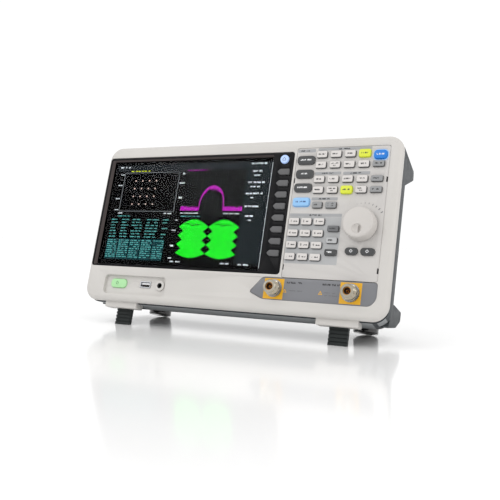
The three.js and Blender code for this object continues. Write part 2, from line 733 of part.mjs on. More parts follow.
function encoder() {
  const x = placeX(KNOB.x);
  const z = placeZ(KNOB.drop);
  const depths = [PANEL_BACK + GAP, KEYPAD_BOARD_Y - GAP];
  const body = block(span(x, ENCODER_SIDE), depths, span(z, ENCODER_SIDE));
  return body.add(rod(KNOB.shaft, -KNOB.foot - KNOB.bore + 1, PANEL_BACK + 1, x, z));
}

function nConnector(fromRight) {
  const { thread, bore, contact, proud, body, tail, back } = N_TYPE;
  const steps = N_TYPE_STEPS;
  const neck = thread - THREAD_PLAY;
  const profile = [
    [0, -proud + steps.contact],
    [contact, -proud + steps.contact],
    [contact, -steps.boreFloor],
    [bore, -steps.boreFloor],
    [bore, -proud],
    [thread - steps.chamfer[0], -proud],
    [thread, -proud + steps.chamfer[1]],
    [thread, -steps.collar],
    [body, -steps.collar],
    [body, PLATE_SINK - GAP],
    [neck, PLATE_SINK - GAP],
    [neck, steps.nutBack],
    [tail, steps.nutBack],
    [tail, back],
    [0, back],
  ];
  return turned(profile, WIDTH - fromRight, RF_CONNECTORS.z);
}

function connectorPlate() {
  const { out, in: input, z } = RF_CONNECTORS;
  const plate = slab(plateShape(0), PLATE_SINK, PLATE_SINK + PLATE_THICKNESS);
  const hole = N_TYPE.thread + THREAD_PLAY;
  const holes = [out, input].map((fromRight) =>
    rod(hole, -1, PLATE_SINK + PLATE_THICKNESS + 1, WIDTH - fromRight, z),
  );
  return cutAll(plate, holes);
}

// A socket block with a rectangular mouth, facing front or back, and a tongue in the mouth.
function socket(spec, front, back, mouthFront, mouthBack, tongue) {
  const { x, z, width, height, hole } = spec;
  const body = block(span(x, width), [front, back], span(z, height));
  const mouth = block(span(x, hole[0]), [mouthFront, mouthBack], span(z, hole[1]));
  const hollow = body.subtract(mouth);
  return tongue ? hollow.add(tongue) : hollow;
}

function usbPort() {
  const front = POCKET.depth - 1;
  const floor = front + USB_A.hollow;
  const { x, z } = USB_A;
  const tongue = block(
    span(x, USB_TONGUE.width),
    [front + USB_TONGUE.setBack, floor + 1],
    [z + USB_TONGUE.bottom, z + USB_TONGUE.top],
  );
  return socket(USB_A, front, USB_A.back, front - 1, floor, tongue);
}

function headphoneJack() {
  const { ring, neck, mouth, bore, proud } = JACK;
  const front = POCKET.depth - GAP - proud;
  const profile = [
    [0, JACK_DEPTHS.bore],
    [bore, JACK_DEPTHS.bore],
    [bore, front + JACK_DEPTHS.taper],
    [mouth, front],
    [ring - JACK_CHAMFER, front],
    [ring, front + JACK_DEPTHS.rim],
    [ring, POCKET.depth - GAP],
    [neck, POCKET.depth - GAP],
    [neck, JACK_DEPTHS.back],
    [0, JACK_DEPTHS.back],
  ];
  return turned(profile, JACK.x, JACK.z);
}

function powerButton() {
  const back = POCKET_BACK + GAP;
  const cap = slab(powerShape(0), POCKET.depth - POWER_BUTTON.proud, back + 1);
  return cap.add(slab(powerShape(KEY_LIP + RUNNING), back, back + KEY_WEB));
}

// ---- Legs and feet ----

// A leg is drawn longer than it is and trimmed at the floor.
function frontLeg(x) {
  const half = LEG.width / 2;
  const back = LEG.front + LEG.thickness;
  const corners = [
    [LEG.front, -LEG.length],
    [back, -LEG.length],
    [back, -LEG_AXIS_DROP],
    [LEG.front, -LEG_AXIS_DROP],
  ];
  const plate = sideSlab(corners, x - half, x + half);
  const barrel = rodAcross(LEG.barrel, x - half, x + half, LEG_AXIS_Y, -LEG_AXIS_DROP, 20);
  const reach = half + LEG.pinReach;
  const pin = rodAcross(LEG.pin, x - reach, x + reach, LEG_AXIS_Y, -LEG_AXIS_DROP);
  return union([plate, barrel, pin]).subtract(BELOW_FLOOR);
}

// ---- Rear cover ----

function coverSection(section, inset) {
  return {
    y: section.y,
    left: section.side + inset,
    right: WIDTH - section.side - inset,
    bottom: section.under + inset,
    top: HEIGHT - section.over - inset,
    radius: section.radius - inset,
  };
}

// The bumpers' outer faces, drawn in towards the back.
const draftSection = (y) => ({
  y,
  left: BUMPER.left + y * BUMPER_DRAFT,
  right: WIDTH - BUMPER.left - y * BUMPER_DRAFT,
  bottom: -HEIGHT,
  top: 2 * HEIGHT,
  radius: 1,
});

function coverSkin() {
  const shell = loft(COVER_SECTIONS.map((section) => coverSection(section, 0)));
  const upper = UPPER_BUMPER.map(([y, z]) => [y, HEIGHT + z]);
  const bumpers = [
    [BUMPER.left, BUMPER.right],
    [WIDTH - BUMPER.right, WIDTH - BUMPER.left],
  ].flatMap(([left, right]) => [
    sideSlab(LOWER_BUMPER, left, right, BUMPER.round),
    sideSlab([...upper].reverse(), left, right, BUMPER.round),
  ]);
  return shell.add(union(bumpers).intersect(loft([draftSection(0), draftSection(2 * COVER_REAR)])));
}

const WELL_CLEAR = 20; // how far a cutting block reaches past the cover
const RECESS_FALL = Math.tan(THREE.MathUtils.degToRad(RECESS.slope));
const recessFloor = (y) => HEIGHT - RECESS.frontDepth - (y - RECESS.front) * RECESS_FALL;
function handleRecess(grow) {
  const front = RECESS.front - grow;
  const beyond = COVER_REAR + WELL_CLEAR;
  const corners = [
    [front, recessFloor(front) - grow],
    [beyond, recessFloor(beyond) - grow],
    [beyond, HEIGHT + WELL_CLEAR],
    [front, HEIGHT + WELL_CLEAR],
  ];
  const half = RECESS.halfWidth + grow;
  return sideSlab(corners, MIDDLE - half, MIDDLE + half);
}

const legPocket = (x, grow) =>
  block(
    span(x, LEG.width + 2 * (LEG_POCKET_PLAY + grow)),
    [0, LEG_POCKET_BACK + grow],
    [-WELL_CLEAR, LEG_POCKET_RISE + grow],
  );
const bracketRoom = (x, grow) =>
  block(
    span(x, BRACKET.width + 2 * (GAP + grow)),
    [0, BRACKET.back + GAP + grow],
    [-WELL_CLEAR, BRACKET.rise + GAP + grow],
  );
const bayBlock = (grow) =>
  block(
    [BAY.left - grow, BAY.right + grow],
    [BAY.floor - grow, COVER_REAR + WELL_CLEAR],
    [BAY.bottom - grow, BAY.top + grow],
  );

function coverHollow() {
  const sections = COVER_SECTIONS.map((section) => coverSection(section, COVER_WALL));
  sections[0].y -= 1;
  sections[sections.length - 1].y -= COVER_WALL;
  return cutAll(loft(sections), [
    handleRecess(COVER_WALL),
    bayBlock(COVER_WALL),
    ...LEG_PLACES.map((x) => legPocket(x, COVER_WALL)),
    ...LEG_PLACES.map((x) => bracketRoom(x, COVER_WALL)),
  ]);
}

function grilleSlots() {
  return Array.from({ length: GRILLE.rows }, (_, i) => {
    const rise = (i - (GRILLE.rows - 1) / 2) * GRILLE.pitch;
    const half = Math.sqrt(FAN.bore ** 2 - rise ** 2);
    return block(
      [FAN.x - half, FAN.x + half],
      [COVER_REAR - COVER_WALL - 1, COVER_REAR + 1],
      span(FAN.z + rise, GRILLE.slot),
    );
  });
}

const bncX = (i) => BNC.first + i * BNC.pitch;
const handlePivotZ = HEIGHT - HANDLE.drop;

const SKIN = coverSkin();
function rearCover() {
  const pinBore = span(MIDDLE, 2 * (RECESS.halfWidth + COVER_WALL + 2));
  const bayWall = [BAY.floor - COVER_WALL - 1, BAY.floor + 1];
  return cutAll(SKIN.subtract(coverHollow()), [
    handleRecess(0),
    bayBlock(0),
    ...LEG_PLACES.map((x) => legPocket(x, 0)),
    ...LEG_PLACES.map((x) => bracketRoom(x, 0)),
    ...grilleSlots(),
    rodAcross(HANDLE.pin + RUNNING, ...pinBore, HANDLE.y, handlePivotZ),
    ...[0, 1].map((i) => rod(BNC.radius + GAP, ...bayWall, bncX(i), BNC.z)),
    block(span(LAN.x, LAN.width + 2 * GAP), bayWall, span(LAN.z, LAN.height + 2 * GAP)),
    block(
      span(INLET.x, INLET.width + 2 * GAP),
      [COVER_REAR - COVER_WALL - 1, COVER_REAR + 1],
      span(INLET.z, INLET.height + 2 * GAP),
    ),
  ]);
}

// The handle is drawn flat, then laid along the recess: arms from the pivot, bar at their ends.
function carryHandle() {
  const half = RECESS.halfWidth - 2 * RUNNING;
  const { reach, arm, bar, thickness, pin, pinReach } = HANDLE;
  const frame = slab(roundedRect(-half, half, -reach, 0, 6), -thickness / 2, thickness / 2);
  const inside = roundedRect(arm - half, half - arm, bar - reach, thickness, 4);
  const opening = slab(inside, -thickness, thickness);
  const ends = [-1, 1].flatMap((side) => {
    const from = (inner, outer) => (side < 0 ? [-outer, -inner] : [inner, outer]);
    return [
      rodAcross(thickness / 2, ...from(half - arm, half), 0, 0, 20),
      rodAcross(pin, ...from(half - arm, half + pinReach), 0, 0),
    ];
  });
  const turn = 90 - RECESS.slope;
  return union([frame.subtract(opening), ...ends])
    .rotate(turn, 0, 0)
    .translate(MIDDLE, HANDLE.y, handlePivotZ);
}

// ---- Rear connectors and fan ----

function bncConnector(x) {
  const { radius, bore, contact, proud, back } = BNC;
  const face = BAY.floor + GAP;
  const tip = BAY.floor + proud;
  const profile = [
    [0, BAY.floor - back],
    [radius, BAY.floor - back],
    [radius, face],
    [BNC_FLANGE.radius, face],
    [BNC_FLANGE.radius, face + BNC_FLANGE.thickness],
    [radius, face + BNC_FLANGE.thickness],
    [radius, tip],
    [bore, tip],
    [bore, face + BNC_STEP],
    [contact, face + BNC_STEP],
    [contact, tip - BNC_STEP],
    [0, tip - BNC_STEP],
  ];
  const body = turned(profile, x, BNC.z, 20);
  const lugEnds = span(x, 2 * (radius + BNC_LUG.proud));
  const lug = rodAcross(BNC_LUG.radius, ...lugEnds, tip - BNC_LUG.fromTip, BNC.z, 8);
  const clear = rod(bore, face + BNC_STEP, tip + 1, x, BNC.z, 20);
  return body.add(lug.subtract(clear));
}

function lanPort() {
  const back = BAY.floor + LAN_PROUD;
  return socket(LAN, back - LAN.length, back, back - LAN.hollow, back + 1);
}

function mainsInlet() {
  const { x, z, width, height, flange, hole, hollow, length } = INLET;
  const back = COVER_REAR + INLET.proud;
  const flangePlate = slab(
    centredRect(x, z, width + 2 * flange, height + 2 * flange, 3),
    COVER_REAR + GAP,
    back,
  );
  const mouth = block(span(x, hole[0]), [back - hollow, back + 1], span(z, hole[1]));
  const pins = [
    [-INLET_PINS.spread, -INLET_PINS.rise],
    [0, INLET_PINS.rise],
    [INLET_PINS.spread, -INLET_PINS.rise],
  ].map(([dx, dz]) =>
    block(
      span(x + dx, INLET_PINS.width),
      [back - hollow - 1, back - hollow + INLET_PINS.length],
      span(z + dz, INLET_PINS.height),
    ),
  );
  const body = block(span(x, width), [back - length, back], span(z, height));
  return union([body.add(flangePlate).subtract(mouth), ...pins]);
}

const FAN_BACK = COVER_REAR - COVER_WALL - GAP;
const FAN_FRONT = FAN_BACK - FAN.depth;
const MOTOR_PLATE = 2.4;

function fanFrame() {
  const outline = centredRect(FAN.x, FAN.z, FAN.side, FAN.side, 4);
  const ring = slab(outline, FAN_FRONT, FAN_BACK, 2).subtract(
    rod(FAN.bore, FAN_FRONT - 1, FAN_BACK + 1, FAN.x, FAN.z, 32),
  );
  const plate = rod(FAN.hub, FAN_FRONT, FAN_FRONT + MOTOR_PLATE, FAN.x, FAN.z);
  const struts = FAN_STRUTS.angles.map((angle) =>
    block([0, FAN.bore + 1], [FAN_FRONT, FAN_FRONT + MOTOR_PLATE], span(0, FAN_STRUTS.width))
      .rotate(0, angle, 0)
      .translate(FAN.x, 0, FAN.z),
  );
  return union([ring, plate, ...struts]);
}

function fanRotor() {
  const front = FAN_FRONT + MOTOR_PLATE + RUNNING;
  const back = FAN_BACK - 1;
  const hub = rod(FAN.hub, front, back, FAN.x, FAN.z);
  const middle = (front + back) / 2;
  const bladeTip = FAN.bore - FAN_BLADE.tipGap;
  const blades = Array.from({ length: FAN.blades }, (_, i) =>
    block([FAN.hub - 2, bladeTip], span(0, FAN_BLADE.thickness), span(0, FAN_BLADE.width))
      .rotate(FAN.pitch, 0, 0)
      .rotate(0, (360 / FAN.blades) * i, 0)
      .translate(FAN.x, middle, FAN.z),
  );
  return union([hub, ...blades]);
}

// ---- Boards and boxes inside ----

function addInside() {
  const right = PANEL_LEFT + PANEL_WIDTH;
  const boardLeft = sightRect(0, GLASS_OVERLAP).right + GAP + 1;
  const keypadBoard = block(
    [boardLeft, right],
    [KEYPAD_BOARD_Y, KEYPAD_BOARD_Y + BOARD],
    [PANEL_BOTTOM + BOARD_MARGIN, PANEL_TOP - BOARD_MARGIN],
  );
  add("keypad_board", keypadBoard, BOARD_GREEN, 0.5);
  const mainBoard = block(
    [MAIN_BOARD.margin, WIDTH - MAIN_BOARD.margin],
    [MAIN_BOARD.y, MAIN_BOARD.y + BOARD],
    [MAIN_BOARD.bottom, HEIGHT - MAIN_BOARD.bottom],
  );
  add("main_board", mainBoard, BOARD_GREEN, 0.5);
  const behindBoard = MAIN_BOARD.y + BOARD + GAP;
  for (const [name, box, colour] of [
    ["rf_shield_can", SHIELD_CAN, NICKEL],
    ["power_supply", SUPPLY, SHEET_METAL],
  ]) {
    const depths = [behindBoard, behindBoard + box.depth];
    const solid = block([box.left, box.right], depths, [box.bottom, box.top]);
    add(name, solid, colour, 0.35, 0.9);
  }
}

// ---- Assembly ----

add("front_bezel", frontBezel(), LIGHT_GREY, 0.55);
addDisplay();
add("keypad_panel", keypadPanel(), PANEL_GREY, 0.6);
addKeypadKeys();
add("rotary_knob", knob(), LIGHT_GREY, 0.45);
add("knob_encoder", encoder(), BARE_METAL, 0.4, 0.6);
add("connector_plate", connectorPlate(), PLATE_BLUE_GREY, 0.5, 0.3);
add("rf_output_connector", nConnector(RF_CONNECTORS.out), NICKEL, 0.25, 1);
add("rf_input_connector", nConnector(RF_CONNECTORS.in), NICKEL, 0.25, 1);
add("power_button", powerButton(), POWER_GREEN, 0.4);
add("front_usb_port", usbPort(), SHEET_METAL, 0.35, 0.9);
add("headphone_jack", headphoneJack(), FAN_BLACK, 0.4);
bothSides(LEG_OFFSET, (side, x) => add("front_leg_" + side, frontLeg(x), DARK_GREY, 0.6));
bothSides(FOOT.offset, (side, x) => {
  const post = rodUp(FOOT.radius, FOOT.bottom, FOOT.top, x, FOOT.y);
  const foot = cutAll(post, [SKIN.translate(0, 0, -GAP), BELOW_FLOOR]);
  add("rear_foot_" + side, foot, RUBBER_BLACK, 0.25);
});
add("rear_cover", rearCover(), DARK_GREY, 0.6);
add("carry_handle", carryHandle(), HANDLE_GREY, 0.55);
add("fan_frame", fanFrame(), FAN_BLACK, 0.5);
add("fan_rotor", fanRotor(), FAN_BLACK, 0.5);
add("mains_inlet", mainsInlet(), RUBBER_BLACK, 0.4);
add("reference_in_connector", bncConnector(bncX(0)), NICKEL, 0.25, 1);
add("reference_out_connector", bncConnector(bncX(1)), NICKEL, 0.25, 1);
add("lan_port", lanPort(), SHEET_METAL, 0.35, 0.9);
addInside();

instrument.rotation.x = -LEAN_RADIANS;
const stand = new THREE.Group();
stand.add(instrument);
const bounds = new THREE.Box3().setFromObject(stand, true);
const centre = bounds.getCenter(new THREE.Vector3());
instrument.position.set(-centre.x, -centre.y, -bounds.min.z);

export default stand;
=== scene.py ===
"""A bench spectrum analyzer leaning back on its two flip-out legs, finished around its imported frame.

Pieces are modelled in millimetres in the case's own axes: x from the left edge of the front frame,
y from its front face to the back, z up from its bottom edge. settle() then turns each one back by
the case's lean and stands it in the frame, in metres.
"""

import json
import math
import random

import bmesh
import bpy
from bpy.props import FloatProperty, FloatVectorProperty, PointerProperty
from bpy.types import Operator, Panel, PropertyGroup
from mathutils import Matrix, Quaternion, Vector


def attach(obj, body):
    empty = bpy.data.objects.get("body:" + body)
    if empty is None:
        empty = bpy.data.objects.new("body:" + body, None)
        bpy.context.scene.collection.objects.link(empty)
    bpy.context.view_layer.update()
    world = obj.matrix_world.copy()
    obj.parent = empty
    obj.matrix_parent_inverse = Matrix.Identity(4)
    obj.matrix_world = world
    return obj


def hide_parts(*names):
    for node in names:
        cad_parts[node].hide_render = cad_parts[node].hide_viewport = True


bl_info = {
    "name": "Bench Spectrum Analyzer",
    "version": (1, 0, 0),
    "blender": (4, 5, 0),
    "location": "View3D > Sidebar > Analyzer",
    "description": "Builds the finished casing, controls, display and connectors of an analyzer",
    "category": "Object",
}

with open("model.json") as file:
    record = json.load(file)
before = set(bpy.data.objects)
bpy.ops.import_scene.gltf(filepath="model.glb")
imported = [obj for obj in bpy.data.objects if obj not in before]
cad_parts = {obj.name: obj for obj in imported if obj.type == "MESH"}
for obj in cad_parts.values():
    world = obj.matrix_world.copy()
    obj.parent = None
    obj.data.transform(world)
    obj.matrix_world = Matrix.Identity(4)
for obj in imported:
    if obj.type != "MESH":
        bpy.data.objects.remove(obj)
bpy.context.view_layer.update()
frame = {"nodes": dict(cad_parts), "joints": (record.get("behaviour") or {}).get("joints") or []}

MM = 0.001
INSTRUMENT = "instrument"

# ---- The case's own axes ----

BRACKET_DROP = 7.0  # leg brackets below the bottom edge of the front frame


def corners_of(points):
    points = list(points)
    low = Vector([min(p[i] for p in points) for i in range(3)])
    high = Vector([max(p[i] for p in points) for i in range(3)])
    return low, high


def joint_named(name):
    return next(joint for joint in frame["joints"] if joint["name"] == name)


def node_points(node):
    return [v.co for v in frame["nodes"][node].data.vertices]


KNOB_AXIS = joint_named("rotary_knob_turn")["axis"]
LEAN = math.atan2(-KNOB_AXIS[2], KNOB_AXIS[1])
TURN = Matrix.Rotation(-LEAN, 4, "X")
BEZEL_LOW, BEZEL_HIGH = corners_of(TURN.inverted() @ p for p in node_points("front_bezel"))
CASE_ZERO = TURN @ (BEZEL_LOW + Vector((0, 0, BRACKET_DROP * MM)))
CASE_TO_ROW = Matrix.Translation(CASE_ZERO) @ TURN @ Matrix.Scale(MM, 4)
ROW_TO_CASE = CASE_TO_ROW.inverted()


def case_box(node):
    """Lowest and highest corner of a frame node in the case's axes, in millimetres."""
    return corners_of(ROW_TO_CASE @ p for p in node_points(node))


def middle(node):
    low, high = case_box(node)
    return (low + high) / 2


# ---- Sizes that the pieces share, in millimetres ----

WIDTH = (BEZEL_HIGH.x - BEZEL_LOW.x) / MM
HEIGHT = (BEZEL_HIGH.z - BEZEL_LOW.z) / MM - BRACKET_DROP
MIDDLE = WIDTH / 2
GAP = 0.3  # between fixed pieces that meet
RUNNING = 0.4  # round a key that moves
KEY_LIP = 0.65  # rim that keeps a key behind the panel
FRAME_RADIUS = 17.5
FRAME_TAPER = 0.8
FRAME_DEPTH = 10.0
FRAME_LIP = 6.4  # depth of the straight part that the front rounding is cut from
FRONT_WALL = 3.2
SIDE_WALL = 4.1
DISPLAY_LOW, DISPLAY_HIGH = case_box("display_bezel")
PANEL_LOW, PANEL_HIGH = case_box("keypad_panel")
PLATE_LOW, PLATE_HIGH = case_box("connector_plate")
GLASS_LOW, GLASS_HIGH = case_box("touch_glass")
LCD_LOW, LCD_HIGH = case_box("lcd_module")
GLASS_OVERLAP = 1.6  # glass edge hidden behind the rim
WINDOW_RADIUS = 4.0
KEY = {"width": 12.3, "height": 7.6, "radius": 1.5}
LIT_KEY = {"width": 13.2, "height": 9.0, "radius": 2.2}
PLATE_OUTLINE = ((144.4, 40.2), (159.4, 22.8), (142.0, 15.4), (19.5, 15.0), (13.0, 22.5), (13.0, 40.2))
PLATE_ROUND = 3.5
PRINT = 0.06  # thickness of printed marks
KEY_SHEET = 1.2  # thickness of the sheet that keeps a key behind the panel
TOUCH = 1e-3  # places nearer than this are the same place
RUBBED = "rubbed"  # face attribute: 1 on rounded edges
LEG_SIDES = ("left", "right")

# ---- Modelling by hand ----


def object_mode():
    if bpy.context.object and bpy.context.object.mode != "OBJECT":
        bpy.ops.object.mode_set(mode="OBJECT")


def select(*pieces):
    """Only these pieces are selected, and the first is active."""
    object_mode()
    bpy.ops.object.select_all(action="DESELECT")
    for piece in pieces:
        piece.select_set(True)
    if pieces:
        bpy.context.view_layer.objects.active = pieces[0]


def edit(piece):
    """Edit mode on one piece with everything selected."""
    select(piece)
    bpy.ops.object.mode_set(mode="EDIT")
    bpy.ops.mesh.select_mode(type="VERT")
    bpy.ops.mesh.select_all(action="SELECT")


def pick_edges(piece, test):
    """In edit mode, selects the edges whose two ends pass the test."""
    bpy.ops.mesh.select_mode(type="EDGE")
    bpy.ops.mesh.select_all(action="DESELECT")
    mesh = bmesh.from_edit_mesh(piece.data)
    for edge in mesh.edges:
        edge.select_set(all(test(v.co) for v in edge.verts))
    bmesh.update_edit_mesh(piece.data)


def close_up(piece):
    """Merges doubles, turns the faces outwards and leaves edit mode."""
    bpy.ops.mesh.select_all(action="SELECT")
    bpy.ops.mesh.remove_doubles(threshold=TOUCH / 2)
    bpy.ops.mesh.normals_make_consistent(inside=False)
    bpy.ops.object.mode_set(mode="OBJECT")
    return piece


def rect(left, right, bottom, top):
    return [(left, bottom), (right, bottom), (right, top), (left, top)]


def centred(x, z, width, height):
    return rect(x - width / 2, x + width / 2, z - height / 2, z + height / 2)


def polygon(x, z, radius, sides):
    turns = [math.tau * i / sides for i in range(sides)]
    return [(x + radius * math.cos(a), z + radius * math.sin(a)) for a in turns]


def outline(name, corners, y):
    """A flat face in the front view, with its corners at the (x, z) given."""
    select()
    bpy.ops.mesh.primitive_circle_add(vertices=len(corners), fill_type="NGON")
    piece = bpy.context.object
    piece.name = name
    for vertex, (x, z) in zip(piece.data.vertices, corners):
        vertex.co = (x, y, z)
    return piece


def slab(name, corners, front, back, radius=0.0, steps=6, edge=0.0, edge_steps=3):
    """An outline with rounded corners, given thickness, with its front edge rounded."""
    piece = outline(name, corners, front)
    edit(piece)
    if radius:
        bpy.ops.mesh.bevel(offset=radius, segments=steps, affect="VERTICES")
        bpy.ops.mesh.select_all(action="SELECT")
    bpy.ops.mesh.extrude_region_move(TRANSFORM_OT_translate={"value": (0, back - front, 0)})
    if edge:
        pick_edges(piece, lambda p: abs(p.y - front) < TOUCH)
        bpy.ops.mesh.bevel(offset=edge, segments=edge_steps, affect="EDGES")
    return close_up(piece)


def box_tool(low_x, high_x, front, back, bottom, top):
    return slab("tool", rect(low_x, high_x, bottom, top), front, back)


def side_slab(name, corners, left, right, radius=0.0, steps=5, edge=0.0, edge_steps=3):
    """An outline in the side view, (y, z), given width from left to right."""
    piece = outline(name, [(0, 0)] * len(corners), 0)
    for vertex, (y, z) in zip(piece.data.vertices, corners):
        vertex.co = (left, y, z)
    edit(piece)
    if radius:
        bpy.ops.mesh.bevel(offset=radius, segments=steps, affect="VERTICES")
        bpy.ops.mesh.select_all(action="SELECT")
    bpy.ops.mesh.extrude_region_move(TRANSFORM_OT_translate={"value": (right - left, 0, 0)})
    if edge:
        for x in (left, right):
            pick_edges(piece, lambda p, x=x: abs(p.x - x) < TOUCH)
            bpy.ops.mesh.bevel(offset=edge, segments=edge_steps, affect="EDGES")
    return close_up(piece)


def loft(name, sections, steps=8):
    """Rounded rectangles one behind another: each section is extruded from the last and resized."""
    y, left, right, bottom, top, radius = sections[0]
    piece = outline(name, rect(left, right, bottom, top), y)
    edit(piece)
    bpy.ops.mesh.bevel(offset=radius, segments=steps, affect="VERTICES")
    bpy.ops.mesh.select_all(action="SELECT")
    for last, now in zip(sections, sections[1:]):
        scale = ((now[2] - now[1]) / (last[2] - last[1]), 1, (now[4] - now[3]) / (last[4] - last[3]))
        centre = Vector(((last[1] + last[2]) / 2, last[0], (last[3] + last[4]) / 2))
        onward = Vector(((now[1] + now[2]) / 2, now[0], (now[3] + now[4]) / 2)) - centre
        bpy.ops.mesh.extrude_region_move(TRANSFORM_OT_translate={"value": onward})
        bpy.ops.transform.resize(value=scale, center_override=centre + onward)
    return close_up(piece)


ACROSS = {"X": (1, 2), "Y": (0, 2), "Z": (0, 1)}
ALONG = {"X": 0, "Y": 1, "Z": 2}


def turned(name, profile, centre, axis="Y", steps=32, closed=False):
    """A profile of (radius, place along the axis) spun about that axis through the centre."""
    select()
    bpy.ops.mesh.primitive_circle_add(vertices=len(profile), fill_type="NOTHING")
    piece = bpy.context.object
    piece.name = name
    for vertex, (radius, along) in zip(piece.data.vertices, profile):
        place = Vector(centre)
        place[ACROSS[axis][0]] += radius
        place[ALONG[axis]] = along
        vertex.co = place
    edit(piece)
    if not closed:
        ends = {0, len(profile) - 1}
        mesh = bmesh.from_edit_mesh(piece.data)
        bpy.ops.mesh.select_mode(type="EDGE")
        bpy.ops.mesh.select_all(action="DESELECT")
        for link in mesh.edges:
            link.select_set({v.index for v in link.verts} == ends)
        bmesh.update_edit_mesh(piece.data)
        bpy.ops.mesh.delete(type="EDGE_FACE")
        bpy.ops.mesh.select_mode(type="VERT")
        bpy.ops.mesh.select_all(action="SELECT")
    direction = Vector((0, 0, 0))
    direction[ALONG[axis]] = 1
    bpy.ops.mesh.spin(steps=steps, angle=math.tau, center=centre, axis=direction)
    return close_up(piece)


def arc(radius, centre_r, centre_a, start, end, steps=4):
    """Points of a rounded corner in a turned profile, angles in degrees."""
    angles = [math.radians(start + (end - start) * i / steps) for i in range(steps + 1)]
    return [(centre_r + radius * math.cos(a), centre_a + radius * math.sin(a)) for a in angles]


def rod(name, radius, front, back, x, z, steps=24):
    return turned(name, [(0, front), (radius, front), (radius, back), (0, back)], (x, 0, z), steps=steps)


def rod_across(name, radius, left, right, y, z, steps=20):
    profile = [(0, left), (radius, left), (radius, right), (0, right)]
    return turned(name, profile, (0, y, z), axis="X", steps=steps)


def joined(name, pieces):
    select(*pieces)
    if len(pieces) > 1:
        bpy.ops.object.join()
    piece = bpy.context.object
    piece.name = name
    return piece


def combine(piece, operation, tools):
    for tool in tools:
        select(piece)
        modifier = piece.modifiers.new(operation.title(), "BOOLEAN")
        modifier.operation = operation
        modifier.solver = "MANIFOLD"
        modifier.object = tool
        bpy.ops.object.modifier_apply(modifier=modifier.name)
        bpy.data.objects.remove(tool)
    if not piece.data.polygons:
        raise RuntimeError(f"{piece.name}: {operation.lower()} left nothing")
    return piece


def cut(piece, *tools):
    return combine(piece, "DIFFERENCE", tools)


def weld(piece, *tools):
    return combine(piece, "UNION", tools)


def soften(piece, width, segments=2, angle=32):
    """Rounds every edge sharper than the angle."""
    select(piece)
    modifier = piece.modifiers.new("Soften", "BEVEL")
    modifier.width = width
    modifier.segments = segments
    modifier.limit_method = "ANGLE"
    modifier.angle_limit = math.radians(angle)
    modifier.use_clamp_overlap = True
    bpy.ops.object.modifier_apply(modifier=modifier.name)
    return mark_rubbed(piece, 1.3 * width)


def mark_rubbed(piece, widest):
    """Marks the narrow faces that round an edge, for the edge wear in the finishes."""
    marks = piece.data.attributes.get(RUBBED) or piece.data.attributes.new(RUBBED, "FLOAT", "FACE")
    vertices = piece.data.vertices
    for face in piece.data.polygons:
        around = [(vertices[a].co - vertices[b].co).length for a, b in face.edge_keys]
        marks.data[face.index].value = 1.0 if len(around) == 4 and min(around) < widest / 2 else 0.0
    return piece


def copy_of_node(node):
    """A frame node's mesh in the case's axes, its doubles merged and its flat faces made whole."""
    piece = bpy.data.objects.new(node + "_copy", frame["nodes"][node].data.copy())
    bpy.context.scene.collection.objects.link(piece)
    piece.data.transform(ROW_TO_CASE)
    piece.data.materials.clear()
    edit(piece)
    bpy.ops.mesh.remove_doubles(threshold=2 * TOUCH)
    bpy.ops.mesh.dissolve_limited(angle_limit=math.radians(1))
    return close_up(piece)


def settle(piece, body, stands_for=(), smooth=32):
    """Stands the piece in the frame, hangs it on the body it rides on and hides the frame nodes it stands for."""
    select(piece)
    piece.matrix_world = CASE_TO_ROW @ piece.matrix_world
    bpy.ops.object.transform_apply(location=True, rotation=True, scale=True)
    bpy.ops.object.shade_smooth_by_angle(angle=math.radians(smooth))
    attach(piece, body)
    if stands_for:
        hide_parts(*stands_for)
    return piece


def coat(piece, finish):
    piece.data.materials.clear()
    piece.data.materials.append(material(finish))
    return piece


def coat_where(piece, finish, test):
    """Gives a second finish to the faces whose centre and normal pass the test."""
    piece.data.materials.append(material(finish))
    index = len(piece.data.materials) - 1
    for face in piece.data.polygons:
        if test(face.center, face.normal):
            face.material_index = index
    return piece


# ---- Finishes ----


def linear(colour):
    """A display colour, 0 to 255 a channel, as a linear one."""
    shares = [channel / 255 for channel in colour]
    return tuple(s / 12.92 if s <= 0.04045 else ((s + 0.055) / 1.055) ** 2.4 for s in shares)


class Nodes:
    """A short way to add nodes to a tree and link them."""

    def __init__(self, tree):
        self.tree = tree

    def add(self, kind, inputs=None, **settings):
        node = self.tree.nodes.new("ShaderNode" + kind)
        for name, value in settings.items():
            setattr(node, name, value)
        for socket, value in (inputs or {}).items():
            if isinstance(value, bpy.types.NodeSocket):
                self.tree.links.new(value, node.inputs[socket])
            else:
                node.inputs[socket].default_value = value
        return node

    def noise(self, vector, scale, detail=3.0):
        node = self.add("TexNoise", {"Vector": vector, "Scale": scale, "Detail": detail})
        return node.outputs["Fac"]

    def spread(self, value, low, high, to_low, to_high):
        node = self.add("MapRange", {0: value, 1: low, 2: high, 3: to_low, 4: to_high})
        return node.outputs[0]

    def maths(self, operation, first, second):
        return self.add("Math", {0: first, 1: second}, operation=operation).outputs[0]


def shared_group(name, inputs, outputs, fill):
    """A node group of plain values, made once."""
    if name in bpy.data.node_groups:
        return bpy.data.node_groups[name]
    group = bpy.data.node_groups.new(name, "ShaderNodeTree")
    for label, value in inputs.items():
        socket = group.interface.new_socket(label, in_out="INPUT", socket_type="NodeSocketFloat")
        socket.default_value = value
    for label in outputs:
        group.interface.new_socket(label, in_out="OUTPUT", socket_type="NodeSocketFloat")
    nodes = Nodes(group)
    source = group.nodes.new("NodeGroupInput").outputs
    sink = group.nodes.new("NodeGroupOutput").inputs
    place = nodes.add("TexCoord").outputs["Object"]
    for label, value in fill(nodes, source, place).items():
        group.links.new(value, sink[label])
    return group


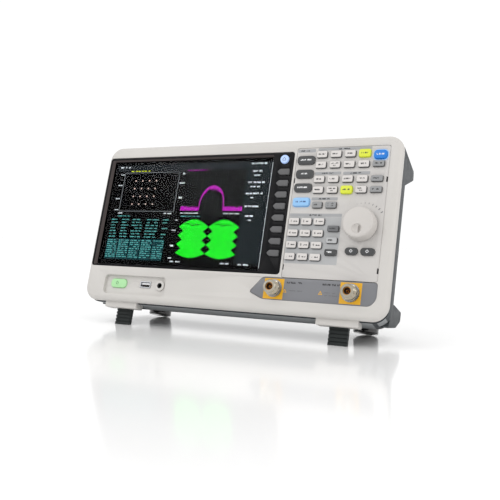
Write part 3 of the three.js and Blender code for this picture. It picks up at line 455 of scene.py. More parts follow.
def moulded_grain(nodes, source, place):
    """Fine spark-eroded texture with slow changes of tone and gloss."""
    fine = nodes.noise(place, source["Grain Scale"], 4.0)
    slow = nodes.noise(place, 14.0, 3.0)
    patch = nodes.noise(place, 90.0, 2.0)
    low = nodes.maths("SUBTRACT", 1.0, source["Tone Change"])
    high = nodes.maths("ADD", 1.0, source["Tone Change"])
    return {
        "Tone": nodes.spread(slow, 0.35, 0.65, low, high),
        "Gloss": nodes.spread(patch, 0.3, 0.7, -0.05, 0.05),
        "Height": fine,
    }


def edge_wear(nodes, source, place):
    """The rounded edges, rubbed paler in patches."""
    edges = nodes.add("Attribute", attribute_name=RUBBED).outputs["Fac"]
    broken = nodes.spread(nodes.noise(place, 180.0, 4.0), 0.42, 0.62, 0.0, 1.0)
    return {"Mask": nodes.maths("MULTIPLY", nodes.maths("MULTIPLY", edges, broken), source["Amount"])}


def turned_metal(nodes, source, place):
    """Faint tool marks and handling marks on machined metal."""
    fine = nodes.noise(place, source["Mark Scale"], 5.0)
    slow = nodes.noise(place, 120.0, 3.0)
    return {"Gloss": nodes.spread(slow, 0.3, 0.7, -0.06, 0.08), "Height": fine}


def glass_smudge(nodes, source, place):
    """Smears left by fingers on a smooth face."""
    smear = nodes.spread(nodes.noise(place, 22.0, 5.0), 0.45, 0.75, 0.0, 1.0)
    return {"Gloss": nodes.maths("MULTIPLY", smear, source["Amount"])}


GROUPS = {
    "Moulded Grain": (
        moulded_grain,
        {"Grain Scale": 2600.0, "Tone Change": 0.015},
        ("Tone", "Gloss", "Height"),
    ),
    "Edge Wear": (edge_wear, {"Amount": 0.3}, ("Mask",)),
    "Turned Metal": (turned_metal, {"Mark Scale": 900.0}, ("Gloss", "Height")),
    "Glass Smudge": (glass_smudge, {"Amount": 0.06}, ("Gloss",)),
}


def group_node(nodes, name, **values):
    fill, inputs, outputs = GROUPS[name]
    node = nodes.tree.nodes.new("ShaderNodeGroup")
    node.node_tree = shared_group(name, inputs, outputs, fill)
    for label, value in values.items():
        node.inputs[label.replace("_", " ")].default_value = value
    return node.outputs


def tinted(nodes, colour, tone):
    """A colour multiplied by a value that changes over the surface."""
    mix = nodes.add("MixRGB", {0: 1.0, 1: (*colour, 1.0), 2: tone}, blend_type="MULTIPLY")
    return mix.outputs[0]


def plastic(nodes, shader, look):
    """Moulded plastic or silicone: grain, slow tone changes and rubbed edges."""
    colour = look["rgb"]
    grain = group_node(nodes, "Moulded Grain", Grain_Scale=look.get("scale", 2600.0))
    worn = group_node(nodes, "Edge Wear", Amount=look.get("wear", 0.25))["Mask"]
    pale = tuple(c + (1 - c) * 0.35 for c in colour)
    base = nodes.add("MixRGB", {0: worn, 1: tinted(nodes, colour, grain["Tone"]), 2: (*pale, 1.0)})
    tree = nodes.tree
    tree.links.new(base.outputs[0], shader.inputs["Base Color"])
    rough = nodes.maths("ADD", grain["Gloss"], look["roughness"])
    tree.links.new(rough, shader.inputs["Roughness"])
    depth = look.get("grain", 0.12)
    bump = nodes.add("Bump", {"Strength": depth, "Distance": 0.0002, "Height": grain["Height"]})
    tree.links.new(bump.outputs[0], shader.inputs["Normal"])
    shader.inputs["Coat Weight"].default_value = look.get("coat", 0.0)
    shader.inputs["Specular IOR Level"].default_value = look.get("shine", 0.4)
    shader.inputs["Coat Roughness"].default_value = 0.12
    if "glow" in look:
        tree.links.new(tinted(nodes, colour, grain["Tone"]), shader.inputs["Emission Color"])
        shader.inputs["Emission Strength"].default_value = look["glow"]


def metal(nodes, shader, look):
    """Plated or turned metal."""
    marks = group_node(nodes, "Turned Metal", Mark_Scale=look.get("scale", 900.0))
    grain = group_node(nodes, "Moulded Grain", Tone_Change=0.06)
    tree = nodes.tree
    tree.links.new(tinted(nodes, look["rgb"], grain["Tone"]), shader.inputs["Base Color"])
    tree.links.new(nodes.maths("ADD", marks["Gloss"], look["roughness"]), shader.inputs["Roughness"])
    depth = look.get("grain", 0.1)
    bump = nodes.add("Bump", {"Strength": depth, "Distance": 0.0001, "Height": marks["Height"]})
    tree.links.new(bump.outputs[0], shader.inputs["Normal"])
    shader.inputs["Metallic"].default_value = 1.0


def glass(nodes, shader, look):
    """The clear pane over the display, with a light index so that it mirrors little."""
    smudge = group_node(nodes, "Glass Smudge", Amount=look["smudge"])["Gloss"]
    tree = nodes.tree
    tree.links.new(nodes.maths("ADD", smudge, look["roughness"]), shader.inputs["Roughness"])
    shader.inputs["Base Color"].default_value = (*look["rgb"], 1.0)
    shader.inputs["Transmission Weight"].default_value = 1.0
    shader.inputs["IOR"].default_value = look["ior"]


def lit_pixels(nodes, shader, look):
    """A patch of lit display: colour broken up by a fine pattern of noise."""
    place = nodes.add("TexCoord").outputs["Object"]
    speck = nodes.spread(nodes.noise(place, look["scale"], 5.0), 0.35, 0.65, look["dim"], 1.0)
    colour = tinted(nodes, look["rgb"], speck)
    nodes.tree.links.new(colour, shader.inputs["Emission Color"])
    shader.inputs["Emission Strength"].default_value = look["glow"]
    shader.inputs["Base Color"].default_value = (0.002, 0.002, 0.002, 1.0)
    shader.inputs["Roughness"].default_value = 0.4
    shader.inputs["Specular IOR Level"].default_value = 0.05


def circuit_board(nodes, shader, look):
    """Solder resist with tracks showing through as raised lines."""
    place = nodes.add("TexCoord").outputs["Object"]
    cells = nodes.add("TexVoronoi", {"Vector": place, "Scale": 320.0}, distance="MANHATTAN")
    track = nodes.spread(cells.outputs["Distance"], 0.42, 0.5, 0.0, 1.0)
    green = look["rgb"]
    bright = tuple(min(1.0, c * 1.9) for c in green)
    base = nodes.add("MixRGB", {0: track, 1: (*green, 1.0), 2: (*bright, 1.0)})
    tree = nodes.tree
    tree.links.new(base.outputs[0], shader.inputs["Base Color"])
    tree.links.new(nodes.spread(track, 0.0, 1.0, 0.42, 0.3), shader.inputs["Roughness"])
    bump = nodes.add("Bump", {"Strength": 0.3, "Distance": 0.0001, "Height": track})
    tree.links.new(bump.outputs[0], shader.inputs["Normal"])


def studio_floor(nodes, shader, look):
    """A pale, lightly polished surface."""
    place = nodes.add("TexCoord").outputs["Object"]
    haze = nodes.spread(nodes.noise(place, 1.5, 3.0), 0.3, 0.7, 0.1, 0.14)
    nodes.tree.links.new(haze, shader.inputs["Roughness"])
    shader.inputs["Base Color"].default_value = (*look["rgb"], 1.0)


# Colours are display values, 0 to 255 a channel. grain is the depth of the moulded texture, scale its
# fineness, shine the mirror level, wear how much the rounded edges are rubbed and glow the light given off.
FINISHES = {
    "frame_light": (plastic, {"colour": (197, 194, 190), "roughness": 0.42, "grain": 0.08}),
    "panel_light": (plastic, {"colour": (193, 190, 187), "roughness": 0.45, "grain": 0.1}),
    "print_grey": (plastic, {"colour": (156, 157, 159), "roughness": 0.5, "wear": 0.0}),
    "print_field": (plastic, {"colour": (168, 169, 170), "roughness": 0.5, "wear": 0.0}),
    "print_dark": (plastic, {"colour": (52, 52, 54), "roughness": 0.5, "wear": 0.0}),
    "print_white": (plastic, {"colour": (225, 226, 228), "roughness": 0.5, "wear": 0.0}),
    "print_blue": (plastic, {"colour": (40, 66, 120), "roughness": 0.5, "wear": 0.0}),
    "print_yellow": (plastic, {"colour": (222, 166, 26), "roughness": 0.45, "wear": 0.0}),
    # Paler grey for the underside of the cover near the front: painted light thrown up from the floor.
    "cover_lip": (
        plastic,
        {"colour": (138, 141, 143), "roughness": 0.55, "grain": 0.2, "shine": 0.3, "scale": 1500.0},
    ),
    "cover_dark": (
        plastic,
        {"colour": (58, 62, 65), "roughness": 0.55, "grain": 0.2, "shine": 0.2, "scale": 1500.0},
    ),
    "leg_dark": (plastic, {"colour": (36, 40, 40), "roughness": 0.5, "grain": 0.15, "shine": 0.2}),
    "foot_rubber": (
        plastic,
        {"colour": (12, 12, 14), "roughness": 0.12, "grain": 0.0, "shine": 0.5, "coat": 0.8},
    ),
    "gloss_black": (
        plastic,
        {"colour": (15, 15, 17), "roughness": 0.3, "grain": 0.03, "shine": 0.1, "wear": 0.1},
    ),
    "rim_brown": (
        plastic,
        {"colour": (66, 59, 58), "roughness": 0.4, "grain": 0.05, "shine": 0.2, "wear": 0.0},
    ),
    "key_white": (plastic, {"colour": (206, 202, 199), "roughness": 0.5, "grain": 0.05, "wear": 0.0}),
    "key_grey": (plastic, {"colour": (142, 143, 144), "roughness": 0.5, "grain": 0.06}),
    "key_pale": (plastic, {"colour": (176, 177, 178), "roughness": 0.5, "grain": 0.06}),
    "key_mid": (plastic, {"colour": (104, 105, 107), "roughness": 0.5, "grain": 0.06}),
    # Darker grey for the side faces of the keys: painted shade on their sides.
    "key_side": (plastic, {"colour": (104, 104, 105), "roughness": 0.6, "shine": 0.2, "wear": 0.0}),
    # Dark metal for the thread valleys and the bore of the signal connectors: painted shade.
    "thread_dark": (metal, {"colour": (52, 46, 38), "roughness": 0.3}),
    "key_dark": (
        plastic,
        {"colour": (70, 71, 72), "roughness": 0.5, "grain": 0.06, "shine": 0.25, "wear": 0.1},
    ),
    "key_sky": (plastic, {"colour": (127, 170, 209), "roughness": 0.45, "glow": 0.25, "wear": 0.0}),
    "key_blue": (plastic, {"colour": (16, 104, 184), "roughness": 0.4, "glow": 0.3, "wear": 0.0}),
    # Pale blue glowing ring round the preset and auto-set keys: painted light round the lit keys.
    "key_halo": (plastic, {"colour": (138, 176, 214), "roughness": 0.5, "glow": 0.3, "wear": 0.0}),
    "key_lit": (plastic, {"colour": (186, 194, 50), "roughness": 0.4, "glow": 0.35, "wear": 0.0}),
    "softkey_grey": (plastic, {"colour": (92, 92, 93), "roughness": 0.5, "grain": 0.06, "shine": 0.3}),
    "home_lit": (plastic, {"colour": (150, 172, 212), "roughness": 0.35, "glow": 0.5, "wear": 0.0}),
    "power_lit": (plastic, {"colour": (158, 206, 152), "roughness": 0.35, "glow": 0.18, "wear": 0.0}),
    "power_mark": (plastic, {"colour": (50, 110, 66), "roughness": 0.5, "wear": 0.0}),
    "knob_light": (plastic, {"colour": (193, 189, 185), "roughness": 0.38, "grain": 0.03}),
    "handle_dark": (plastic, {"colour": (52, 56, 60), "roughness": 0.45, "grain": 0.25, "scale": 1500.0}),
    "fan_black": (plastic, {"colour": (26, 27, 29), "roughness": 0.4, "grain": 0.1}),
    "socket_black": (plastic, {"colour": (20, 20, 22), "roughness": 0.35, "grain": 0.06}),
    # Dark brown for the insulator deep in a signal connector's bore: painted shade in the bore.
    "insulator": (plastic, {"colour": (58, 46, 38), "roughness": 0.35, "grain": 0.05, "wear": 0.0}),
    "slot_shadow": (plastic, {"colour": (18, 18, 19), "roughness": 0.7, "wear": 0.0}),
    "lcd_black": (plastic, {"colour": (3, 3, 4), "roughness": 0.5, "wear": 0.0, "shine": 0.0}),
    "plate_metal": (
        plastic,
        {"colour": (118, 119, 123), "roughness": 0.35, "grain": 0.06, "shine": 0.4, "wear": 0.0},
    ),
    "nickel": (metal, {"colour": (170, 164, 150), "roughness": 0.1}),
    "gold": (metal, {"colour": (176, 120, 52), "roughness": 0.22}),
    "socket_steel": (metal, {"colour": (196, 198, 202), "roughness": 0.28}),
    "screw_steel": (metal, {"colour": (150, 152, 156), "roughness": 0.3}),
    "shield_tin": (metal, {"colour": (198, 196, 188), "roughness": 0.34, "grain": 0.3}),
    "supply_steel": (metal, {"colour": (176, 178, 182), "roughness": 0.38, "grain": 0.3}),
    "cover_glass": (glass, {"colour": (238, 242, 246), "roughness": 0.02, "smudge": 0.05, "ior": 1.12}),
    "lit_magenta": (lit_pixels, {"colour": (232, 24, 226), "glow": 1.15, "scale": 1100.0, "dim": 0.2}),
    "lit_green": (lit_pixels, {"colour": (20, 250, 30), "glow": 1.2, "scale": 420.0, "dim": 0.62}),
    "lit_white": (lit_pixels, {"colour": (216, 222, 224), "glow": 1.7, "scale": 2600.0, "dim": 0.7}),
    "lit_line": (lit_pixels, {"colour": (140, 144, 146), "glow": 1.6, "scale": 2600.0, "dim": 0.7}),
    "lit_faint": (lit_pixels, {"colour": (58, 62, 58), "glow": 0.8, "scale": 2600.0, "dim": 0.6}),
    "lit_teal": (lit_pixels, {"colour": (104, 204, 198), "glow": 1.3, "scale": 2600.0, "dim": 0.4}),
    "lit_table": (lit_pixels, {"colour": (8, 60, 64), "glow": 1.0, "scale": 700.0, "dim": 0.75}),
    "lit_yellow": (lit_pixels, {"colour": (206, 220, 40), "glow": 1.8, "scale": 2600.0, "dim": 0.5}),
    "lit_dots": (lit_pixels, {"colour": (214, 186, 174), "glow": 2.6, "scale": 2600.0, "dim": 0.3}),
    "lit_bar": (lit_pixels, {"colour": (26, 32, 36), "glow": 0.8, "scale": 300.0, "dim": 0.85}),
    "lit_menu": (lit_pixels, {"colour": (16, 26, 29), "glow": 0.8, "scale": 300.0, "dim": 0.85}),
    "board_green": (circuit_board, {"colour": (26, 84, 52)}),
    "floor": (studio_floor, {"colour": (252, 252, 252)}),
}

# Finishes whose colour a user can choose, and the property that holds it
CHOSEN_COLOURS = {
    "frame_light": "case",
    "panel_light": "panel",
    "cover_dark": "cover",
    "key_white": "keys",
    "key_lit": "lit",
}


def material(name):
    """The finish of that name, made the first time it is asked for."""
    title = name.replace("_", " ").title()
    if title in bpy.data.materials:
        return bpy.data.materials[title]
    made = bpy.data.materials.new(title)
    made.use_nodes = True
    recipe, look = FINISHES[name]
    rgb = linear(look["colour"])
    if name in CHOSEN_COLOURS:
        rgb = tuple(getattr(bpy.context.scene.analyzer_colours, CHOSEN_COLOURS[name]))
    recipe(Nodes(made.node_tree), made.node_tree.nodes["Principled BSDF"], {**look, "rgb": rgb})
    return made


# ---- Sizes and colours that a user would change ----


def length(name, description, millimetres, top):
    start, most = millimetres * MM, top * MM
    return FloatProperty(
        name=name, description=description, default=start, min=0.0, max=most, unit="LENGTH", precision=4
    )


def shade(name, description, finish):
    start = linear(FINISHES[finish][1]["colour"])
    return FloatVectorProperty(
        name=name, description=description, default=start, size=3, min=0.0, max=1.0, subtype="COLOR"
    )


class AnalyzerSizes(PropertyGroup):
    """Sizes of the finishing work that the frame leaves open."""

    front_round: length("Front Rounding", "Rounding of the front frame's outer edge", 5.8, 6)
    edge_soft: length("Edge Softness", "Rounding of small moulded edges", 0.4, 1)
    key_soft: length("Key Softness", "Rounding of the key tops", 0.75, 1.5)
    cover_soft: length("Cover Softness", "Rounding of the rear cover's edges", 1.2, 3)
    rib_pitch: length("Leg Rib Pitch", "Distance between the ribs on a leg", 4.2, 8)
    rib_depth: length("Leg Rib Depth", "Depth of the grooves between the ribs", 1.3, 2)
    thread_pitch: length("Thread Pitch", "Pitch of the connector threads", 1.06, 2)
    grille_slot: length("Grille Slot", "Height of a slot in the fan grille", 3.2, 4)


class AnalyzerColours(PropertyGroup):
    """Main colours of the casing and keys."""

    case: shade("Case", "Front frame", "frame_light")
    panel: shade("Panel", "Keypad panel", "panel_light")
    cover: shade("Cover", "Rear cover", "cover_dark")
    keys: shade("Keys", "Function and number keys", "key_white")
    lit: shade("Lit Keys", "Keys with their lamp on", "key_lit")


def sizes():
    return bpy.context.scene.analyzer_sizes


# ---- Front frame ----

BRACKET = {"width": 47.6, "front": 7.0, "rise": 3.0, "radius": 1.2, "edge": 0.9}
LEG = {"barrel": 2.9, "pin": 1.6, "reach": 4.0, "axis_drop": 3.4}
POCKET = {"side": 8.9, "right": 3.2, "bottom": 9.0, "top": 32.8, "radius": 5.0, "depth": 4.0, "floor": 2.8}
BUTTON_LIP = 1.05  # rim that keeps the power button behind the pocket's floor
BUTTON_HOLE = (23.8, 11.8, 4.8)  # width, height, corner radius
USB_HOLE = (15.8, 8.4, 0.8)
JACK_HOLE = 4.9
PANEL_CORNER = 2.5
BEHIND_FRAME = 30.0  # depth that every cut through the front frame reaches
FACET_RUN = 25.0  # the shallow facet that leads from the window down to the connector plate
PANEL_HOLE = (PANEL_LOW.x - GAP, PANEL_HIGH.x + GAP, PANEL_LOW.z - GAP, PANEL_HIGH.z + GAP)
WINDOW = (DISPLAY_LOW.x - GAP, DISPLAY_HIGH.x + GAP, DISPLAY_LOW.z - GAP, DISPLAY_HIGH.z + GAP)


def plate_corners(grow=0.0):
    corners = [(WIDTH - from_right, z) for from_right, z in PLATE_OUTLINE]
    x0 = sum(x for x, _ in corners) / len(corners)
    z0 = sum(z for _, z in corners) / len(corners)
    return [(x + math.copysign(grow, x - x0), z + math.copysign(grow, z - z0)) for x, z in corners]


def pocket_rect(grow=0.0):
    button_low, _ = case_box("power_button")
    _, jack_high = case_box("headphone_jack")
    left = button_low.x + BUTTON_LIP - POCKET["side"] - grow
    right = jack_high.x + POCKET["right"] + grow
    return left, right, POCKET["bottom"] - grow, POCKET["top"] + grow


def leg_middle(side):
    return middle("front_leg_" + side).x


def frame_blank():
    """The front frame before anything is cut: tapered to the back, its front edge rounded."""
    bezel = outline("front_bezel_shell", rect(0, WIDTH, 0, HEIGHT), 0)
    edit(bezel)
    bpy.ops.mesh.bevel(offset=FRAME_RADIUS, segments=12, affect="VERTICES")
    bpy.ops.mesh.select_all(action="SELECT")
    bpy.ops.mesh.extrude_region_move(TRANSFORM_OT_translate={"value": (0, FRAME_LIP, 0)})
    bpy.ops.mesh.extrude_region_move(TRANSFORM_OT_translate={"value": (0, FRAME_DEPTH - FRAME_LIP, 0)})
    taper = (1 - 2 * FRAME_TAPER / WIDTH, 1, 1 - 2 * FRAME_TAPER / HEIGHT)
    bpy.ops.transform.resize(value=taper, center_override=(MIDDLE, FRAME_DEPTH, HEIGHT / 2))
    pick_edges(bezel, lambda p: p.y < TOUCH)
    bpy.ops.mesh.bevel(offset=sizes().front_round / MM, segments=7, affect="EDGES")
    return close_up(bezel)


def frame_inside(pocket_back):
    """The room inside the front frame, less the block round the pocket."""
    wall = SIDE_WALL
    corners = rect(wall, WIDTH - wall, wall, HEIGHT - wall)
    inside = slab("tool", corners, FRONT_WALL, FRAME_DEPTH + 1, FRAME_RADIUS - wall)
    block = rect(*pocket_rect(FRONT_WALL))
    return cut(inside, slab("tool", block, 0, pocket_back, POCKET["radius"] + FRONT_WALL))


def cut_front_openings(bezel, pocket_back):
    cut(bezel, slab("tool", rect(*WINDOW), -1, DISPLAY_HIGH.y + GAP, WINDOW_RADIUS))
    cut(bezel, slab("tool", rect(*PANEL_HOLE), -1, FRONT_WALL + 1, PANEL_CORNER))
    cut(bezel, slab("tool", plate_corners(GAP), -1, FRONT_WALL + 1, PLATE_ROUND))
    cut(bezel, slab("tool", rect(*pocket_rect()), -1, POCKET["depth"], POCKET["radius"]))
    for node, (width, height, radius) in (("power_button", BUTTON_HOLE), ("front_usb_port", USB_HOLE)):
        place = middle(node)
        cut(bezel, slab("tool", centred(place.x, place.z, width, height), 0, pocket_back + 1, radius))
    jack = middle("headphone_jack")
    cut(bezel, rod("tool", JACK_HOLE, 0, pocket_back + 1, jack.x, jack.z))


def cut_leg_hinges(bezel):
    """Room for each leg's barrel and a bore for its pin."""
    for side in LEG_SIDES:
        low, high = case_box("front_leg_" + side)
        reach = LEG["reach"] + RUNNING
        left, right = low.x + LEG["reach"] - RUNNING, high.x - LEG["reach"] + RUNNING
        room = LEG["barrel"] + RUNNING
        axis = leg_hinge(side)
        cut(bezel, box_tool(left, right, axis.y - room, BEHIND_FRAME, -BRACKET_DROP - 1, axis.z + room))
        bore = LEG["pin"] + RUNNING
        cut(bezel, rod_across("tool", bore, left - reach, right + reach, axis.y, axis.z))


def build_front_bezel():
    pocket_back = POCKET["depth"] + POCKET["floor"]
    bezel = cut(frame_blank(), frame_inside(pocket_back))
    for side in LEG_SIDES:
        x = leg_middle(side)
        half = BRACKET["width"] / 2
        corners = rect(x - half, x + half, -BRACKET_DROP, BRACKET["rise"])
        back = BEZEL_HIGH.y / MM - BEZEL_LOW.y / MM
        block = slab("tool", corners, BRACKET["front"], back, BRACKET["radius"], edge=BRACKET["edge"])
        weld(bezel, block)
    cut_front_openings(bezel, pocket_back)
    cut_leg_hinges(bezel)
    cut(bezel, facet_tool())
    soften(bezel, sizes().edge_soft / MM)
    coat(bezel, "frame_light")
    settle(bezel, INSTRUMENT, stands_for=["front_bezel"])


def leg_hinge(side):
    """Where the leg's hinge is, in the case's axes."""
    return ROW_TO_CASE @ Vector(joint_named(f"front_leg_{side}_fold")["pos_m"])


def facet_tool():
    """A thin wedge whose cut slopes from a ridge line down to the connector plate's left edge."""
    tip = Vector((WIDTH - PLATE_OUTLINE[1][0], 0, PLATE_OUTLINE[1][1]))
    plate_top = Vector((WIDTH - PLATE_OUTLINE[0][0], 0, PLATE_OUTLINE[0][1]))
    ridge = Vector((tip.x - FACET_RUN, 0, plate_top.z))
    sink = PLATE_LOW.y
    tool = outline("tool", [(ridge.x, ridge.z), (tip.x, tip.z), (plate_top.x, plate_top.z)], -1)
    edit(tool)
    bpy.ops.mesh.extrude_region_move(TRANSFORM_OT_translate={"value": (0, 1, 0)})
    mesh = bmesh.from_edit_mesh(tool.data)
    for vertex in mesh.verts:
        if vertex.co.y > -0.5 and (vertex.co - plate_top).length < 1:
            vertex.co.y = sink
    bmesh.update_edit_mesh(tool.data)
    return close_up(tool)


# ---- Display ----

SIGHT_LEFT = GLASS_LOW.x + GLASS_OVERLAP
SIGHT_TOP = GLASS_HIGH.z - GLASS_OVERLAP
SIGHT_RIGHT = DISPLAY_HIGH.x + GAP - 27.0
SOFTKEYS = [f"softkey_{i + 1}" for i in range(8)]
SOFTKEY = {"width": 15.0, "height": 7.2, "point": 3.4, "radius": 1.1}
HOME_ROUND = 0.9  # rounding of the home key's edge
HOME_HOLE = 5.15
PICTURE_FRONT = LCD_LOW.y - 0.22  # the lit layer between the glass and the panel behind it
PICTURE_BACK = LCD_LOW.y - 0.06


def softkey_corners(node, grow=0.0):
    low, high = case_box(node)
    centre = (low + high) / 2
    half_w, half_h = SOFTKEY["width"] / 2 + grow, SOFTKEY["height"] / 2 + grow
    shoulder = centre.x - half_w + SOFTKEY["point"]
    return [
        (centre.x - half_w, centre.z),
        (shoulder, centre.z - half_h),
        (centre.x + half_w, centre.z - half_h),
        (centre.x + half_w, centre.z + half_h),
        (shoulder, centre.z + half_h),
    ]


def build_display_bezel():
    left, right, bottom, top = WINDOW
    bezel = slab(
        "display_bezel_rim",
        rect(left + GAP, right - GAP, bottom + GAP, top - GAP),
        DISPLAY_LOW.y,
        DISPLAY_HIGH.y,
        WINDOW_RADIUS - GAP,
        edge=0.5,
    )
    sight = (left + 7.0, SIGHT_RIGHT, bottom + 3.7, top - 4.9)
    rim = 2.1
    front = (DISPLAY_LOW.y - 0.5, sight[0] - rim - 2.0, sight[1] + 0.6, sight[2] - rim, sight[3] + rim, 1.5)
    rear = (GLASS_LOW.y - 0.8, *sight, 1.5)
    beyond = (DISPLAY_HIGH.y + 1, *sight, 1.5)
    cut(bezel, loft("tool", [front, rear, beyond], steps=4))
    seat = rect(GLASS_LOW.x - GAP, GLASS_HIGH.x + GAP, GLASS_LOW.z - GAP, GLASS_HIGH.z + GAP)
    cut(bezel, slab("tool", seat, GLASS_LOW.y - GAP, DISPLAY_HIGH.y + 1))
    for node in SOFTKEYS:
        cut(bezel, slab("tool", softkey_corners(node, RUNNING), -1, DISPLAY_HIGH.y + 1, 1.0, 3))
    home = middle("home_key")
    cut(bezel, rod("tool", HOME_HOLE + RUNNING, -1, DISPLAY_HIGH.y + 1, home.x, home.z))
    soften(bezel, 0.25)
    coat(bezel, "gloss_black")
    sight_left, sight_right, _, sight_top = sight

    def on_slope(centre, normal):
        """The sloped rim along the left and the top of the display."""
        at_left = centre.x < sight_left + 1
        at_top = centre.z > sight_top - 1 and centre.x < sight_right
        return -0.97 < normal.y < -0.25 and (at_left or at_top)

    coat_where(bezel, "rim_brown", on_slope)
    settle(bezel, INSTRUMENT, stands_for=["display_bezel"])


def build_cover_glass():
    pane = slab(
        "touch_glass_pane",
        rect(GLASS_LOW.x, GLASS_HIGH.x, GLASS_LOW.z, GLASS_HIGH.z),
        GLASS_LOW.y,
        GLASS_HIGH.y,
        1.0,
        edge=0.2,
    )
    coat(pane, "cover_glass")
    settle(pane, INSTRUMENT, stands_for=["touch_glass"])


def build_softkeys():
    for node in SOFTKEYS:
        low, high = case_box(node)
        sheet, corner = high.y - KEY_SHEET, SOFTKEY["radius"]
        soft = sizes().key_soft / MM
        cap = slab(node + "_cap", softkey_corners(node), low.y, sheet, corner, 4, edge=soft)
        rim = slab("rim", softkey_corners(node, KEY_LIP + RUNNING), sheet, high.y, corner, 4)
        weld(cap, rim)
        coat(cap, "softkey_grey")
        settle(cap, node, stands_for=[node])
    low, high = case_box("home_key")
    centre = middle("home_key")
    radius = (high.x - low.x) / 2 - KEY_LIP - RUNNING
    crown = arc(HOME_ROUND, radius - HOME_ROUND, low.y + HOME_ROUND, -90, 0)
    sheet = high.y - KEY_SHEET
    profile = [(0, low.y), *crown, (radius, sheet), (radius + 1, sheet), (radius + 1, high.y), (0, high.y)]
    key = turned("home_key_cap", profile, (centre.x, 0, centre.z), steps=40)
    coat(key, "home_lit")
    mark = home_mark(centre, low.y)
    settle(joined("home_key_cap", [key, mark]), "home_key", stands_for=["home_key"])


def home_mark(centre, front):
    """The plain outline of a house."""
    size = 2.0
    corners = [(-size, -size), (size, -size), (size, 0.2), (0, size + 0.2), (-size, 0.2)]
    house = slab("mark", [(centre.x + x, centre.z + z) for x, z in corners], front - PRINT, front + PRINT)
    inner = [(centre.x + x * 0.68, centre.z + z * 0.68 - 0.15) for x, z in corners]
    return coat(cut(house, slab("tool", inner, front - 1, front + 1)), "key_mid")


# ---- The picture on the display ----


def lit_slab(name, corners, finish, lift=0.0):
    return coat(slab(name, corners, PICTURE_FRONT - lift, PICTURE_BACK), finish)


def thin_frame(name, low_x, high_x, low_z, high_z, line, finish):
    frame_piece = slab(name, rect(low_x, high_x, low_z, high_z), PICTURE_FRONT, PICTURE_BACK)
    hole = slab("tool", rect(low_x + line, high_x - line, low_z + line, high_z - line), -1, 12)
    return coat(cut(frame_piece, hole), finish)


def word_rows(name, left, right, rows, finish, seed, glyph=1.25, height=1.15, fill=0.8, fronts=None):
    """Rows of small dashes that read as lines of text without saying anything."""
    chance = random.Random(seed)
    pieces = []
    for z in rows:
        x = left
        while x < right - 2 * glyph:
            word = glyph * chance.randint(3, 8)
            end = min(x + word, right)
            if chance.random() < fill:
                columns = max(2, round((end - x) / glyph))
                pieces.append(glyph_row(x, end, z, height, columns, chance, finish, fronts))
            x = end + glyph * chance.uniform(1.0, 2.2)
    return joined(name, pieces)


def glyph_row(left, right, z, height, columns, chance, finish, fronts):
    """One word: a strip two cells high, some of its cells left out."""
    select()
    bpy.ops.mesh.primitive_grid_add(x_subdivisions=columns * 2, y_subdivisions=2, size=1)
    word = bpy.context.object
    front, back = fronts or (PICTURE_FRONT, PICTURE_BACK)
    for vertex in word.data.vertices:
        u, v = vertex.co.x + 0.5, vertex.co.y + 0.5
        vertex.co = (left + u * (right - left), front, z + (v - 0.5) * height)
    edit(word)
    mesh = bmesh.from_edit_mesh(word.data)
    bpy.ops.mesh.select_mode(type="FACE")
    for face in mesh.faces:
        face.select_set(chance.random() < 0.32)
    bmesh.update_edit_mesh(word.data)
    bpy.ops.mesh.delete(type="FACE")
    bpy.ops.mesh.select_all(action="SELECT")
    bpy.ops.mesh.extrude_region_move(TRANSFORM_OT_translate={"value": (0, back - front, 0)})
    close_up(word)
    return coat(word, finish)


def strip_between(name, left, right, steps, lower, upper, finish, lift=0.0):
    """A filled band between two curves of x."""
    select()
    bpy.ops.mesh.primitive_grid_add(x_subdivisions=steps, y_subdivisions=1, size=1)
    band = bpy.context.object
    band.name = name
    for vertex in band.data.vertices:
        x = left + (vertex.co.x + 0.5) * (right - left)
        z = upper(x) if vertex.co.y > 0 else lower(x)
        vertex.co = (x, PICTURE_FRONT - lift, z)
    edit(band)
    depth = PICTURE_BACK - PICTURE_FRONT + lift
    bpy.ops.mesh.extrude_region_move(TRANSFORM_OT_translate={"value": (0, depth, 0)})
    close_up(band)
    return coat(band, finish)


SPECTRUM = {
    "left": 121.5,
    "right": 207.0,
    "floor": 118.6,
    "rise": 147.0,
    "fall": 181.5,
    "top": 149.2,
    "noise": 5.6,
    "grid_top": 168.0,
}
GRID_COLUMNS, GRID_ROWS = 10, 8
GRID_LINE = 0.12  # half the width of a grid line
NOISE_STEP = 1.2  # changes of the noise in a millimetre
BEHIND = -0.05  # lift of what lies behind the traces
FIELD_BEHIND = -0.08
TRACE_LINE = 0.9  # width of the trace where it is steep
EYE_STREAKS = ((0.3, 7.0), (0.62, 8.5), (0.45, 5.0))  # share of the width, half length
EYE = {"left": 124.0, "width": 41.4, "tips": (97.8, 86.8, 75.8, 64.8), "dome": 9.2, "bowl": 5.7, "notch": 7.0}


